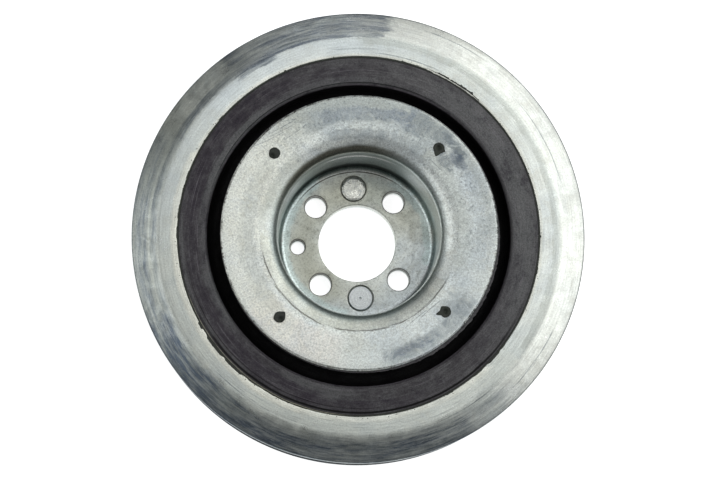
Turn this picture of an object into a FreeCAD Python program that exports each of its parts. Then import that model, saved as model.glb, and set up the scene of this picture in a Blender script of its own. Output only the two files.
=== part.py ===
import FreeCAD, Part
import math
import os

# Crankshaft pulley with a rubber-isolated belt rim and a rubber-tuned damper ring.
# Millimetres. +Z is the crankshaft's axis, pointing away from the engine.
# The origin is the centre of the bore, on the face that is bolted to the crankshaft.
# Every outline below is a list of (radius, height, corner rounding) points in the XZ plane.

# Driving dimensions: the whole pulley
OUTER_R = 90.0
DISC_TOP = 43.4

# Driving dimensions: the two riveted plates and their holes
CUP_SHEET = 3.5
HUB_SHEET = 4.0
BORE_R = 15.7
BOLT_CIRCLE_R = 22.5
BOLT_HOLE_R = 4.25
CUP_BOLT_HOLE_R = 4.5
BOLT_COUNT = 4
LOCATING_R = 24.2
LOCATING_HOLE_R = 2.7
CUP_LOCATING_HOLE_R = 3.05

# Driving dimensions: the drawn cup with its disc
FLOOR_BEND_R = 2.4
WALL_FOOT_R = 31.72
MOUTH_R = 32.2
MOUTH_BEND_R = 3.8
SLOPE_R = 37.3
SLOPE_BEND_R = 16.0
SLOPE_ANGLE = 22.0
DISC_R = 54.5
DISC_DISH = 0.7
DISC_EDGE_R = 0.9
PLUG_CIRCLE_R = 45.75
PLUG_HOLE_R = 2.2
PLUG_TURN = -1.68
PLUG_COUNT = 4
PLUG_SUNK = 0.5

# Driving dimensions: the rivets
RIVET_CIRCLE_R = 22.5
RIVET_SHANK_R = 4.0
RIVET_HEAD_R = 5.0
RIVET_HEAD_PROUD = 0.45
RIVET_SEAT_R = 5.42
RIVET_SEAT_DEPTH = 1.2
RIVET_TAIL_R = 5.4
RIVET_TAIL_DEPTH = 1.4

# Driving dimensions: the rear plate that carries the damper
HUB_STEP_R = 37.6
HUB_STEP_WIDTH = 3.0
HUB_STEP_RISE = 2.5
HUB_STEP_BEND_R = 2.0
HUB_FLANGE_R = 57.5
HUB_FLANGE_BEND_R = 2.5
HUB_FLANGE_TOP = 15.5

# Driving dimensions: the belt rim
RIM_FACE_TOP = 35.3
RIM_FACE_R = 80.0
RIM_CREASE_BEND_R = 10.0
RIM_CONE_DROP = 3.2
RIM_EDGE_R = 0.8
RIM_EYE_R = 71.7
RIM_EYE_EDGE_R = 0.4
RIM_COLLAR_SHEET = 3.5
RIM_COLLAR_END = 18.0
RIM_WEB = 5.8
RIM_POCKET_R = 81.2
RIM_POCKET_BEND_R = 2.0
RIM_BACK = 4.0
RIM_CHAMFER = 0.6

# Driving dimensions: the ribbed belt track
RIB_COUNT = 6
RIB_PITCH = 3.56
RIB_ANGLE = 40.0
GROOVE_ROOT_R = 85.3
GROOVE_ROOT_HALF = 0.35
RIB_CREST_R = 88.3
TRACK_MIDDLE = 17.6

# Driving dimensions: the isolator between the rim and the cup
SLEEVE_SHEET = 1.4
SLEEVE_TOP = 34.4
SLEEVE_BEND_R = 0.5
ISOLATOR_BOTTOM = 18.8
ISOLATOR_RIM_TOP = 35.1
ISOLATOR_CREST_TOP = 36.6
ISOLATOR_CREST_R = 1.4
ISOLATOR_GROOVE_R = 60.0
ISOLATOR_GROOVE_BOTTOM = 23.5
ISOLATOR_GROOVE_BEND_R = 2.8
ISOLATOR_INNER_R = 53.2
ISOLATOR_FOOT_R = 34.0

# Driving dimensions: the damper
DAMPER_RUBBER_OUTER_R = 65.0
DAMPER_RUBBER_BOTTOM = 4.6
DAMPER_RUBBER_TOP = 14.4
INERTIA_BOTTOM = 2.8
INERTIA_TOP = 15.2
INERTIA_NOSE_TOP = 27.6
INERTIA_NOSE = 3.8
INERTIA_CHAMFER = 0.8
INERTIA_BEND_R = 1.5
BUSH_WALL = 0.95
BUSH_RUNNING_GAP = 0.05
BUSH_BOTTOM = 4.6
BUSH_TOP = 27.0

# Heights and radii worked out from the driving dimensions
PLATE_JOINT = HUB_SHEET
CUP_FLOOR = HUB_SHEET + CUP_SHEET
DISC_BACK = DISC_TOP - CUP_SHEET
SLOPE_TOP = DISC_TOP - DISC_DISH
MOUTH_TOP = SLOPE_TOP - (SLOPE_R - MOUTH_R) * math.tan(math.radians(SLOPE_ANGLE))
HUB_FLANGE_OUTER_R = HUB_FLANGE_R + HUB_SHEET
RIM_COLLAR_R = RIM_EYE_R + RIM_COLLAR_SHEET
RIM_WEB_BACK = RIM_FACE_TOP - RIM_WEB
SLEEVE_INNER_R = RIM_EYE_R - SLEEVE_SHEET
BUSH_INNER_R = RIM_POCKET_R - BUSH_WALL
INERTIA_R = BUSH_INNER_R - BUSH_RUNNING_GAP

Vector = FreeCAD.Vector
AXIS = Vector(0, 0, 1)


def flat(radius, height):
    """A point of the section plane, as a vector with no Y."""
    return Vector(radius, 0, height)


def corner(before, here, after, rounding):
    """Where a rounded corner starts and ends, and the middle of its arc."""
    back = (before - here).normalize()
    on = (after - here).normalize()
    half = back.getAngle(on) / 2
    reach = rounding / math.tan(half)
    bisector = (back + on).normalize()
    middle = here + bisector * (rounding / math.sin(half) - rounding)
    return here + back * reach, middle, here + on * reach


def outline(points):
    """A closed wire through (radius, height, rounding) points, with tangent arcs at the rounded ones."""
    places = [flat(radius, height) for radius, height, rounding in points]
    count = len(places)
    edges = []
    pen = None
    first = None
    for index in range(count):
        here = places[index]
        rounding = points[index][2]
        if rounding:
            start, middle, end = corner(places[index - 1], here, places[(index + 1) % count], rounding)
        else:
            start, middle, end = here, None, here
        if pen is None:
            first = start
        elif (start - pen).Length > 1e-6:
            edges.append(Part.LineSegment(pen, start).toShape())
        if middle is not None:
            edges.append(Part.Arc(start, middle, end).toShape())
        pen = end
    if (first - pen).Length > 1e-6:
        edges.append(Part.LineSegment(pen, first).toShape())
    return Part.Wire(edges)


def turned(points):
    """The solid that the outline sweeps round the Z axis."""
    return Part.Face(outline(points)).revolve(Vector(0, 0, 0), AXIS, 360)


def pressing(front, sheet):
    """The closed outline of a pressed sheet.

    front is the line of its front surface, from the bore outwards, with the bend radii of that side.
    The back is the same line moved by the sheet's thickness, with the bends that such a sheet gets there.
    """
    places = [flat(radius, height) for radius, height, bend in front]
    runs = [(after - before).normalize() for before, after in zip(places, places[1:])]
    sides = [Vector(run.z, 0, -run.x) for run in runs]
    back = [(places[0] + sides[0] * sheet, 0)]
    for index in range(1, len(places) - 1):
        before, after = sides[index - 1], sides[index]
        shift = (before + after) * (sheet / (1 + before.dot(after)))
        turns_left = runs[index - 1].cross(runs[index]).y < 0
        bend = front[index][2] + sheet if turns_left else front[index][2] - sheet
        back.append((places[index] + shift, bend))
    back.append((places[-1] + sides[-1] * sheet, 0))
    return front + [(place.x, place.z, bend) for place, bend in reversed(back)]


def around(count, radius, first_angle):
    """Places of equal holes on a circle, as vectors, counted from first_angle in degrees."""
    for index in range(count):
        angle = math.radians(first_angle + 360.0 * index / count)
        yield Vector(radius * math.cos(angle), radius * math.sin(angle), 0)


def drill(solid, places, radius, bottom, top):
    """The solid with a straight hole at each place."""
    pins = [Part.makeCylinder(radius, top - bottom, place + AXIS * bottom, AXIS) for place in places]
    return solid.cut(pins)


def ring_edges(solid, radius, height):
    """The solid's circular edges of one radius at one height."""
    found = []
    for edge in solid.Edges:
        round_edge = isinstance(edge.Curve, Part.Circle) and abs(edge.Curve.Radius - radius) < 1e-4
        if round_edge and abs(edge.Curve.Center.z - height) < 1e-4 and edge.Curve.Center.x ** 2 < 1e-6:
            found.append(edge)
    return found


BOLT_PLACES = list(around(BOLT_COUNT, BOLT_CIRCLE_R, 45.0))
LOCATING_PLACE = Vector(-LOCATING_R, 0, 0)
RIVET_TOP_PLACE = Vector(0, RIVET_CIRCLE_R, 0)
RIVET_BOTTOM_PLACE = Vector(0, -RIVET_CIRCLE_R, 0)
CUP_WALL = [
    (WALL_FOOT_R, CUP_FLOOR, FLOOR_BEND_R),
    (MOUTH_R, MOUTH_TOP, MOUTH_BEND_R),
    (SLOPE_R, SLOPE_TOP, SLOPE_BEND_R),
]
PLUG_PLACES = list(around(PLUG_COUNT, PLUG_CIRCLE_R, 45.0 + PLUG_TURN))


def cup_blank():
    """The drawn cup before piercing: floor, tapered wall, sloping shoulder and dished disc in one sheet."""
    return turned(pressing([(BORE_R, CUP_FLOOR, 0)] + CUP_WALL + [(DISC_R, DISC_TOP, 0)], CUP_SHEET))


def open_front():
    """The open space in front of the cup, down to its floor."""
    above = DISC_TOP + 1
    return turned([(0, CUP_FLOOR, 0)] + CUP_WALL + [(DISC_R, DISC_TOP, 0), (DISC_R, above, 0), (0, above, 0)])


def hub_cup():
    """The cup pierced for the bore, the bolts, the dowel, the rivets and the four rubber plugs."""
    cup = cup_blank()
    cup = cup.makeFillet(DISC_EDGE_R, ring_edges(cup, DISC_R, DISC_TOP))
    cup = drill(cup, BOLT_PLACES, CUP_BOLT_HOLE_R, PLATE_JOINT - 1, CUP_FLOOR + 1)
    cup = drill(cup, [LOCATING_PLACE], CUP_LOCATING_HOLE_R, PLATE_JOINT - 1, CUP_FLOOR + 1)
    rivet_places = [RIVET_TOP_PLACE, RIVET_BOTTOM_PLACE]
    cup = drill(cup, rivet_places, RIVET_SHANK_R, PLATE_JOINT - 1, CUP_FLOOR + 1)
    cup = drill(cup, rivet_places, RIVET_SEAT_R, CUP_FLOOR - RIVET_SEAT_DEPTH, CUP_FLOOR + 1)
    return drill(cup, PLUG_PLACES, PLUG_HOLE_R, DISC_BACK - 1, DISC_TOP + 1)


def rivet_tail():
    """The tail end shared by both rivets, as outline points from the rear face up to the shank."""
    return [(0, 0, 0), (RIVET_TAIL_R, 0, 0), (RIVET_SHANK_R, RIVET_TAIL_DEPTH, 0)]


def rivet_shape(head):
    """A rivet turned from its tail and its head's points."""
    seat = CUP_FLOOR - RIVET_SEAT_DEPTH
    neck = [(RIVET_SHANK_R, seat, 0), (RIVET_HEAD_R, seat, 0)]
    return turned(rivet_tail() + neck + head)


def rivet_top():
    """The rivet closed from the front: its head is upset by the hammer and slightly domed."""
    top = CUP_FLOOR + RIVET_HEAD_PROUD
    head = [(RIVET_HEAD_R, top - 0.3, 0.45), (RIVET_HEAD_R * 0.55, top, 2.0), (0, top, 0)]
    return rivet_shape(head).translated(RIVET_TOP_PLACE)


def rivet_bottom():
    """The rivet put in from the front: a flat factory head with a bevel and a centre dot."""
    top = CUP_FLOOR + RIVET_HEAD_PROUD
    bevel = 0.35
    dot_r = 0.45
    dot_depth = 0.25
    head = [
        (RIVET_HEAD_R, top - bevel, 0),
        (RIVET_HEAD_R - bevel, top, 0),
        (dot_r, top, 0),
        (0, top - dot_depth, 0),
    ]
    return rivet_shape(head).translated(RIVET_BOTTOM_PLACE)


def damper_hub():
    """The rear plate: mounting face, a step forward out of the crankshaft's way, and the damper's flange."""
    front = [
        (BORE_R, PLATE_JOINT, 0),
        (HUB_STEP_R, PLATE_JOINT, HUB_STEP_BEND_R),
        (HUB_STEP_R + HUB_STEP_WIDTH, PLATE_JOINT + HUB_STEP_RISE, HUB_STEP_BEND_R + HUB_SHEET),
        (HUB_FLANGE_R, PLATE_JOINT + HUB_STEP_RISE, HUB_FLANGE_BEND_R),
        (HUB_FLANGE_R, HUB_FLANGE_TOP, 0),
    ]
    hub = turned(pressing(front, HUB_SHEET))
    hub = drill(hub, BOLT_PLACES, BOLT_HOLE_R, -1, PLATE_JOINT + 1)
    hub = drill(hub, [LOCATING_PLACE], LOCATING_HOLE_R, -1, PLATE_JOINT + 1)
    plug = turned(rivet_tail() + [(RIVET_SHANK_R, PLATE_JOINT + 1, 0), (0, PLATE_JOINT + 1, 0)])
    return hub.cut([plug.translated(RIVET_TOP_PLACE), plug.translated(RIVET_BOTTOM_PLACE)])


def belt_track():
    """Outline points of the ribbed track, from the front lip down to the rear lip."""
    slope = math.tan(math.radians(RIB_ANGLE / 2))
    crest_half = GROOVE_ROOT_HALF + (RIB_CREST_R - GROOVE_ROOT_R) * slope
    lip_half = GROOVE_ROOT_HALF + (OUTER_R - GROOVE_ROOT_R) * slope
    points = []
    for index in reversed(range(RIB_COUNT)):
        middle = TRACK_MIDDLE + (index - (RIB_COUNT - 1) / 2) * RIB_PITCH
        if index == RIB_COUNT - 1:
            points.append((OUTER_R, middle + lip_half, 0))
        else:
            points.append((RIB_CREST_R, middle + crest_half, 0))
        points.append((GROOVE_ROOT_R, middle + GROOVE_ROOT_HALF, 0))
        points.append((GROOVE_ROOT_R, middle - GROOVE_ROOT_HALF, 0))
        if index == 0:
            points.append((OUTER_R, middle - lip_half, 0))
        else:
            points.append((RIB_CREST_R, middle - crest_half, 0))
    return points


def pulley_rim():
    """The belt rim: flat face, falling cone, ribbed track, and a collar that holds the isolator."""
    face = [
        (RIM_EYE_R, RIM_COLLAR_END, 0),
        (RIM_EYE_R, RIM_FACE_TOP, RIM_EYE_EDGE_R),
        (RIM_FACE_R, RIM_FACE_TOP, RIM_CREASE_BEND_R),
        (OUTER_R, RIM_FACE_TOP - RIM_CONE_DROP, RIM_EDGE_R),
    ]
    rear = [
        (OUTER_R, RIM_BACK + RIM_CHAMFER, 0),
        (OUTER_R - RIM_CHAMFER, RIM_BACK, 0),
        (RIM_POCKET_R + RIM_CHAMFER, RIM_BACK, 0),
        (RIM_POCKET_R, RIM_BACK + RIM_CHAMFER, 0),
        (RIM_POCKET_R, RIM_WEB_BACK, RIM_POCKET_BEND_R),
        (RIM_COLLAR_R, RIM_WEB_BACK, RIM_POCKET_BEND_R),
        (RIM_COLLAR_R, RIM_COLLAR_END, 0),
    ]
    return turned(face + belt_track() + rear)


def outer_sleeve():
    """The thin sleeve round the rubber, pressed into the rim's collar."""
    return turned([
        (SLEEVE_INNER_R, RIM_COLLAR_END, 0),
        (RIM_EYE_R, RIM_COLLAR_END, 0),
        (RIM_EYE_R, SLEEVE_TOP, SLEEVE_BEND_R),
        (SLEEVE_INNER_R, SLEEVE_TOP, SLEEVE_BEND_R),
    ])


def isolator_rubber():
    """The rubber moulded onto the sleeve and the cup, with the deep groove and the plugs through the disc."""
    body = turned([
        (ISOLATOR_FOOT_R, ISOLATOR_BOTTOM, 0),
        (SLEEVE_INNER_R, ISOLATOR_BOTTOM, 1.2),
        (SLEEVE_INNER_R, SLEEVE_TOP, 0),
        (RIM_EYE_R, SLEEVE_TOP, 0),
        (RIM_EYE_R, ISOLATOR_RIM_TOP, 0),
        (ISOLATOR_GROOVE_R, ISOLATOR_CREST_TOP, ISOLATOR_CREST_R),
        (ISOLATOR_GROOVE_R, ISOLATOR_GROOVE_BOTTOM, ISOLATOR_GROOVE_BEND_R),
        (ISOLATOR_INNER_R, ISOLATOR_GROOVE_BOTTOM, ISOLATOR_GROOVE_BEND_R),
        (ISOLATOR_INNER_R, DISC_BACK, 0.8),
        (ISOLATOR_FOOT_R, DISC_BACK, 0),
    ])
    body = body.cut([cup_blank(), open_front()])
    plug_top = DISC_TOP - PLUG_SUNK
    plugs = [Part.makeCylinder(PLUG_HOLE_R, plug_top - DISC_BACK + 1, place + AXIS * (DISC_BACK - 1), AXIS)
             for place in PLUG_PLACES]
    return body.fuse(plugs).removeSplitter()


def damper_rubber():
    """The rubber ring between the hub's flange and the inertia ring, hollowed at both ends."""
    hollow = 0.9
    middle_r = (HUB_FLANGE_OUTER_R + DAMPER_RUBBER_OUTER_R) / 2
    return turned([
        (HUB_FLANGE_OUTER_R, DAMPER_RUBBER_BOTTOM, 0),
        (middle_r, DAMPER_RUBBER_BOTTOM + hollow, 1.2),
        (DAMPER_RUBBER_OUTER_R, DAMPER_RUBBER_BOTTOM, 0),
        (DAMPER_RUBBER_OUTER_R, DAMPER_RUBBER_TOP, 0),
        (middle_r, DAMPER_RUBBER_TOP - hollow, 1.2),
        (HUB_FLANGE_OUTER_R, DAMPER_RUBBER_TOP, 0),
    ])


def inertia_ring():
    """The cast-iron ring: heavy behind the isolator, with a nose that reaches up into the rim's pocket."""
    nose_r = INERTIA_R - INERTIA_NOSE
    return turned([
        (DAMPER_RUBBER_OUTER_R, INERTIA_BOTTOM + INERTIA_CHAMFER, 0),
        (DAMPER_RUBBER_OUTER_R + INERTIA_CHAMFER, INERTIA_BOTTOM, 0),
        (INERTIA_R - INERTIA_CHAMFER, INERTIA_BOTTOM, 0),
        (INERTIA_R, INERTIA_BOTTOM + INERTIA_CHAMFER, 0),
        (INERTIA_R, INERTIA_NOSE_TOP - INERTIA_CHAMFER, 0),
        (INERTIA_R - INERTIA_CHAMFER, INERTIA_NOSE_TOP, 0),
        (nose_r, INERTIA_NOSE_TOP, 0.6),
        (nose_r, INERTIA_TOP, INERTIA_BEND_R),
        (DAMPER_RUBBER_OUTER_R + INERTIA_CHAMFER, INERTIA_TOP, 0),
        (DAMPER_RUBBER_OUTER_R, INERTIA_TOP - INERTIA_CHAMFER, 0),
    ])


def bearing_bush():
    """The plain bush pressed into the rim's pocket, running on the inertia ring."""
    return turned([
        (BUSH_INNER_R, BUSH_BOTTOM, 0.2),
        (RIM_POCKET_R, BUSH_BOTTOM, 0),
        (RIM_POCKET_R, BUSH_TOP, 0),
        (BUSH_INNER_R, BUSH_TOP, 0.2),
    ])


PIECES = {
    "pulley_rim": pulley_rim,
    "outer_sleeve": outer_sleeve,
    "isolator_rubber": isolator_rubber,
    "hub_cup": hub_cup,
    "damper_hub": damper_hub,
    "damper_rubber": damper_rubber,
    "inertia_ring": inertia_ring,
    "bearing_bush": bearing_bush,
    "rivet_top": rivet_top,
    "rivet_bottom": rivet_bottom,
}

os.makedirs("parts", exist_ok=True)
for name, make in PIECES.items():
    piece = make()
    solids = piece.Solids
    if len(solids) != 1 or not piece.isValid():
        raise ValueError(f"{name} is not one valid solid: {len(solids)} solids")
    solids[0].exportStep(f"parts/{name}.step")
    box = piece.optimalBoundingBox(False)
    print(f"{name:16s} {piece.Volume / 1000:8.2f} cm3  z {box.ZMin:6.2f} to {box.ZMax:6.2f}")
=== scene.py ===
import functools
import math

import bmesh
import bpy
from bpy.props import FloatProperty, FloatVectorProperty, IntProperty, PointerProperty
from bpy.types import Operator, Panel, PropertyGroup
from mathutils import Matrix, Vector, noise


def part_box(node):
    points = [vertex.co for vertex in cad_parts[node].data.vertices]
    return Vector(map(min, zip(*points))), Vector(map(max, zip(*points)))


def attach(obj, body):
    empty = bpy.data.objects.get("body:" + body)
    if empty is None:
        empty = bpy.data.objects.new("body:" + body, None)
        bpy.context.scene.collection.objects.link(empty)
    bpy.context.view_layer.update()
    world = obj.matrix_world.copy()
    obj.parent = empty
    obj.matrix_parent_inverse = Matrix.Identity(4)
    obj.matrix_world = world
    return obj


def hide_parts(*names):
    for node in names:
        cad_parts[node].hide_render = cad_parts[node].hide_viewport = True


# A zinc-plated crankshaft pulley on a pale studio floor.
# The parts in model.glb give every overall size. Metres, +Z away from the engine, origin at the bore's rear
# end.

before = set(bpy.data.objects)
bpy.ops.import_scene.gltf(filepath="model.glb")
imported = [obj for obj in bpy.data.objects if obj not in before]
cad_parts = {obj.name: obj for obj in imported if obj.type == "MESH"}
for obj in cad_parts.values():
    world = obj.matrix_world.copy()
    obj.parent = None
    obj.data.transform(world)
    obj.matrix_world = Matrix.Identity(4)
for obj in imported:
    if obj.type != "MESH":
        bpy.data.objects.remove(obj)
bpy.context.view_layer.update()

bl_info = {
    "name": "Crankshaft pulley",
    "version": (1, 0, 0),
    "blender": (4, 5, 0),
    "location": "3D View > Sidebar > Pulley",
    "description": "Dresses a crankshaft pulley in worn zinc plating and moulded rubber",
    "category": "Object",
}

MM = 0.001
# Points nearer than this are one point, in metres
MERGE_GAP = 2e-7
BODY = "root"
ZINC_SLOT = "zinc_plated_steel"
RIVET_SLOT = "rivet_steel"
ISOLATOR_SLOT = "isolator_rubber"
DAMPER_SLOT = "damper_rubber"
IRON_SLOT = "cast_iron"
BUSH_SLOT = "bush_polymer"


def top_of(node):
    """Height of a node's highest point."""
    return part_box(node)[1].z


def foot_of(node):
    """Height of a node's lowest point."""
    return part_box(node)[0].z


def reach_of(node):
    """Radius of a node that is centred on the axis."""
    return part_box(node)[1].x


def middle_of(node):
    """Middle of a node's box."""
    low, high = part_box(node)
    return (low + high) / 2


# Sizes and colours that a user would change


def length(name, description, millimetres):
    """A length, written in millimetres, with its words for the panel."""
    return FloatProperty(name=name, description=description, default=millimetres * MM, unit="LENGTH",
                         precision=5)


def colour(name, description, default):
    """A linear colour with its words for the panel."""
    return FloatVectorProperty(name=name, description=description, default=default, subtype="COLOR",
                               size=3, min=0.0, max=1.0)


def angle(name, description, degrees):
    """An angle, written in degrees."""
    return FloatProperty(name=name, description=description, default=math.radians(degrees),
                         subtype="ANGLE", unit="ROTATION")


class RimSizes(PropertyGroup):
    """Sizes of the belt rim."""

    crease_r: length("Crease radius", "Where the flat face meets the falling cone", 80)
    crease_bend_r: length("Crease rounding", "Rounding between the flat face and the cone", 10)
    cone_drop: length("Cone drop", "How far the cone falls to the outer edge", 3.2)
    eye_r: length("Eye radius", "Inner edge of the face", 71.7)
    collar: length("Collar thickness", "Wall of the collar round the rubber", 3.5)
    collar_end: length("Collar end", "Height of the collar's rear end", 18)
    web: length("Web thickness", "Thickness of the rim's face", 5.8)
    pocket_r: length("Pocket radius", "Inner radius of the rim round the inertia ring", 81.2)
    rib_pitch: length("Rib pitch", "Distance from one belt groove to the next", 3.56)
    rib_count: IntProperty(name="Belt grooves", description="Grooves in the belt track", default=6)
    root_r: length("Groove root radius", "Radius at the bottom of the belt grooves", 85.3)
    crest_r: length("Rib crest radius", "Radius over the ribs between the lips", 88.3)
    track_middle: length("Track middle", "Height of the belt track's middle", 17.6)
    segments: IntProperty(name="Steps round", description="Steps round the axis", default=288, min=24)


class CupSizes(PropertyGroup):
    """Sizes of the drawn cup with its disc."""

    sheet: length("Sheet", "Thickness of the cup's sheet", 3.5)
    bore_r: length("Bore radius", "Radius of the central bore", 15.7)
    foot_r: length("Wall foot radius", "Radius where the wall meets the floor", 31.72)
    floor_bend_r: length("Floor bend", "Bend between the floor and the wall", 2.4)
    mouth_r: length("Mouth radius", "Where the wall would meet the shoulder's slope unrounded", 32.2)
    mouth_bend_r: length("Mouth bend", "Bend from the shoulder's slope into the wall", 3.8)
    slope_r: length("Slope radius", "Where the shoulder's slope would meet the disc unrounded", 37.3)
    slope_bend_r: length("Slope bend", "Bend from the disc into the shoulder's slope", 16)
    slope: angle("Slope", "Fall of the shoulder's slope", 22.0)
    disc_r: length("Disc radius", "Radius of the disc", 54.5)
    disc_top: length("Disc height", "Height of the disc's outer edge, before its rounding", 43.4)
    dish: length("Dish", "How far the disc falls from its edge to the shoulder's slope", 0.7)
    bolt_circle_r: length("Bolt circle radius", "Radius of the circle of bolts and rivets", 22.5)
    bolt_hole_r: length("Bolt hole radius", "Radius of the bolt holes in the cup", 4.5)
    locating_r: length("Locating radius", "Distance of the locating hole from the axis", 24.2)
    locating_hole_r: length("Locating hole radius", "Radius of the locating hole in the cup", 3.05)
    plug_circle_r: length("Plug circle radius", "Radius of the circle of rubber plugs", 45.75)
    plug_hole_r: length("Plug hole radius", "Radius of the holes for the rubber plugs", 2.2)
    plug_turn: angle("Plug turn", "Turn of the plugs against the bolt holes", -1.68)
    segments: IntProperty(name="Steps round", description="Steps round the axis", default=240, min=24)


class RubberSizes(PropertyGroup):
    """Sizes of the isolator rubber."""

    groove_r: length("Groove outer radius", "Outer wall of the deep groove", 60)
    groove_inner_r: length("Groove inner radius", "Inner wall of the deep groove", 53.2)
    groove_bottom: length("Groove bottom", "Height of the groove's bottom", 23.5)
    groove_bend_r: length("Groove bend", "Rounding at the groove's bottom", 2.8)
    crest_top: length("Crest height", "Height of the rubber beside the groove", 36.6)
    crest_bend_r: length("Crest rounding", "Rounding of the edge beside the groove", 1.4)
    rim_top: length("Height at the rim", "Height of the rubber where it meets the rim", 35.1)
    sleeve: length("Sleeve thickness", "Thickness of the sleeve outside the rubber", 1.4)
    plug_sunk: length("Plug depth", "How far the plugs end below the disc", 0.15)
    skin: length("Skin width", "Width of the torn skin inside the rim's eye", 0.6)
    segments: IntProperty(name="Steps round", description="Steps round the axis", default=360, min=24)


class PulleyColours(PropertyGroup):
    """Colours of the finishes, and of the light and shade painted on them."""

    zinc: colour("Zinc", "Clean zinc plating", (0.785, 0.83, 0.785))
    zinc_blue: colour("Blue haze", "Bluish haze on the plating", (0.56, 0.63, 0.67))
    zinc_pink: colour("Pinkish haze", "Pinkish cream haze on the plating", (0.80, 0.77, 0.71))
    zinc_cream: colour("Cream zinc", "Zinc plating warmed to cream", (0.80, 0.815, 0.75))
    zinc_warm: colour("Warm haze", "Yellowish haze on the plating", (0.78, 0.78, 0.68))
    # Also painted shade: darkens the rim's face on its lower left and over its crease, and the disc's top
    # and shoulder.
    grey_haze_and_shade: colour("Grey haze", "Dull grey haze on the plating", (0.40, 0.43, 0.385))
    # Also painted shade: darkens the rim's cone, crease and outer edge on the left and below.
    slate_stain_and_shade: colour("Slate stain", "Dark slate smears on the plating", (0.15, 0.18, 0.20))
    # Also painted shade in the slate patches on the rim's cone.
    navy_stain_and_shade: colour("Navy stain", "Dark bluish smears on the plating", (0.085, 0.115, 0.165))
    # Painted shade: darkens the recess's wall and the mouth's bend, most towards the lower left.
    recess: colour("Recess wall", "Greenish drawn wall of the recess", (0.22, 0.29, 0.29))
    # Painted shade in the dark band over the mouth's bend at the top; also the speckle on the plate.
    olive: colour("Olive shoulder", "Rubbed olive ring at the recess's mouth", (0.17, 0.17, 0.135))
    # Also painted shade: darkens the plate on all but its right side, and the disc's shoulder below.
    olive_haze_and_shade: colour("Olive plate", "Olive haze on the mounting plate", (0.50, 0.51, 0.42))
    # Partly a painted reflection in the bend where the plate meets the wall.
    teal_haze_and_reflection: colour("Teal haze", "Teal haze where the plate meets the wall", (0.60, 0.74, 0.73))
    # Also painted shade round the holes and rivets.
    grime_and_shade: colour("Grime", "Brownish dirt in corners", (0.05, 0.045, 0.035))
    # Painted shade in the corner at the foot of the recess's wall.
    corner_shade: colour("Soot", "Dark corner at the foot of the recess's wall", (0.02, 0.03, 0.03))
    rivet: colour("Rivet", "Dull head of a rivet", (0.55, 0.585, 0.60))
    rubber: colour("Rubber", "Moulded rubber", (0.040, 0.037, 0.042))
    # Also painted light on the rubber's right side and along its inner edge at the upper left.
    bloom_and_light: colour("Bloomed rubber", "Pale bloom on the rubber", (0.100, 0.104, 0.106))
    # Also painted shade on the rubber's left and lower sides.
    smudge_and_shade: colour("Rubber smudge", "Purplish dark smudges on the rubber", (0.025, 0.020, 0.029))
    # Also painted shade in the dark line just outside the crest at the top.
    pit_and_shade: colour("Rubber pit", "Dips and seams in the rubber", (0.006, 0.006, 0.006))
    # Painted shade: near-black for the rubber deep in the groove.
    groove: colour("Groove", "Rubber in the deep groove", (0.002, 0.002, 0.002))
    flash: colour("Torn flash", "Dark green torn rubber skin", (0.017, 0.021, 0.015))
    sleeve_edge: colour("Sleeve edge", "Bare edge of the sleeve between torn skin", (0.50, 0.48, 0.36))
    iron: colour("Iron", "Turned cast iron", (0.16, 0.16, 0.155))
    bush: colour("Bush", "Plain bearing liner", (0.10, 0.09, 0.07))


class StudioSettings(PropertyGroup):
    """Camera and lamps."""

    distance: length("Camera distance", "From the camera to the plane of the disc's edge", 900)
    tilt: angle("Tilt", "Angle between the view and the pulley's axis", 7.336)
    lean: angle("Lean", "Direction in the picture in which depth runs, clockwise from right", 103.78)
    roll: angle("Roll", "Turn of the pulley in the picture, anticlockwise", 3.68)
    shift_right: length("Centre right", "Disc centre right of the lens axis", -0.16)
    shift_up: length("Centre up", "Disc centre above the lens axis", 3)
    lens: FloatProperty(name="Lens", description="Focal length in millimetres", default=114.75)


# Sections: lists of (radius, height, rounding) points, in metres


def polar(bearing, radius=1.0):
    """The point at a bearing in degrees and a distance from the axis."""
    turn = math.radians(bearing)
    return Vector((radius * math.cos(turn), radius * math.sin(turn), 0))


def around(count, radius, first):
    """Places of equal holes on a circle, from the first one's bearing in degrees."""
    return [polar(first + 360 * index / count, radius) for index in range(count)]


def within(bearing, middle, half):
    """How far a bearing lies from the middle, in half widths, and one or more where it is outside."""
    return abs((bearing - middle + 180) % 360 - 180) / half


def rounded(points, steps=6):
    """The points of a closed outline, with its rounded corners drawn as arcs of so many steps."""
    places = [Vector((radius, height)) for radius, height, rounding in points]
    count = len(places)
    line = []
    for index in range(count):
        here = places[index]
        rounding = points[index][2]
        if not rounding:
            line.append(here)
            continue
        back = (places[index - 1] - here).normalized()
        on = (places[(index + 1) % count] - here).normalized()
        half = back.angle(on) / 2
        centre = here + (back + on).normalized() * (rounding / math.sin(half))
        reach = rounding / math.tan(half)
        start = here + back * reach - centre
        end = here + on * reach - centre
        sweep = start.angle_signed(end)
        for step in range(steps + 1):
            turn = Matrix.Rotation(-sweep * step / steps, 2)
            line.append(centre + turn @ start)
    return line


def spaced(line, gap):
    """The same closed line with extra points, so that no step is longer than gap."""
    made = []
    for start, end in zip(line, line[1:] + line[:1]):
        parts = max(1, math.ceil((end - start).length / gap))
        made += [start.lerp(end, part / parts) for part in range(parts)]
    return made


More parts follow.
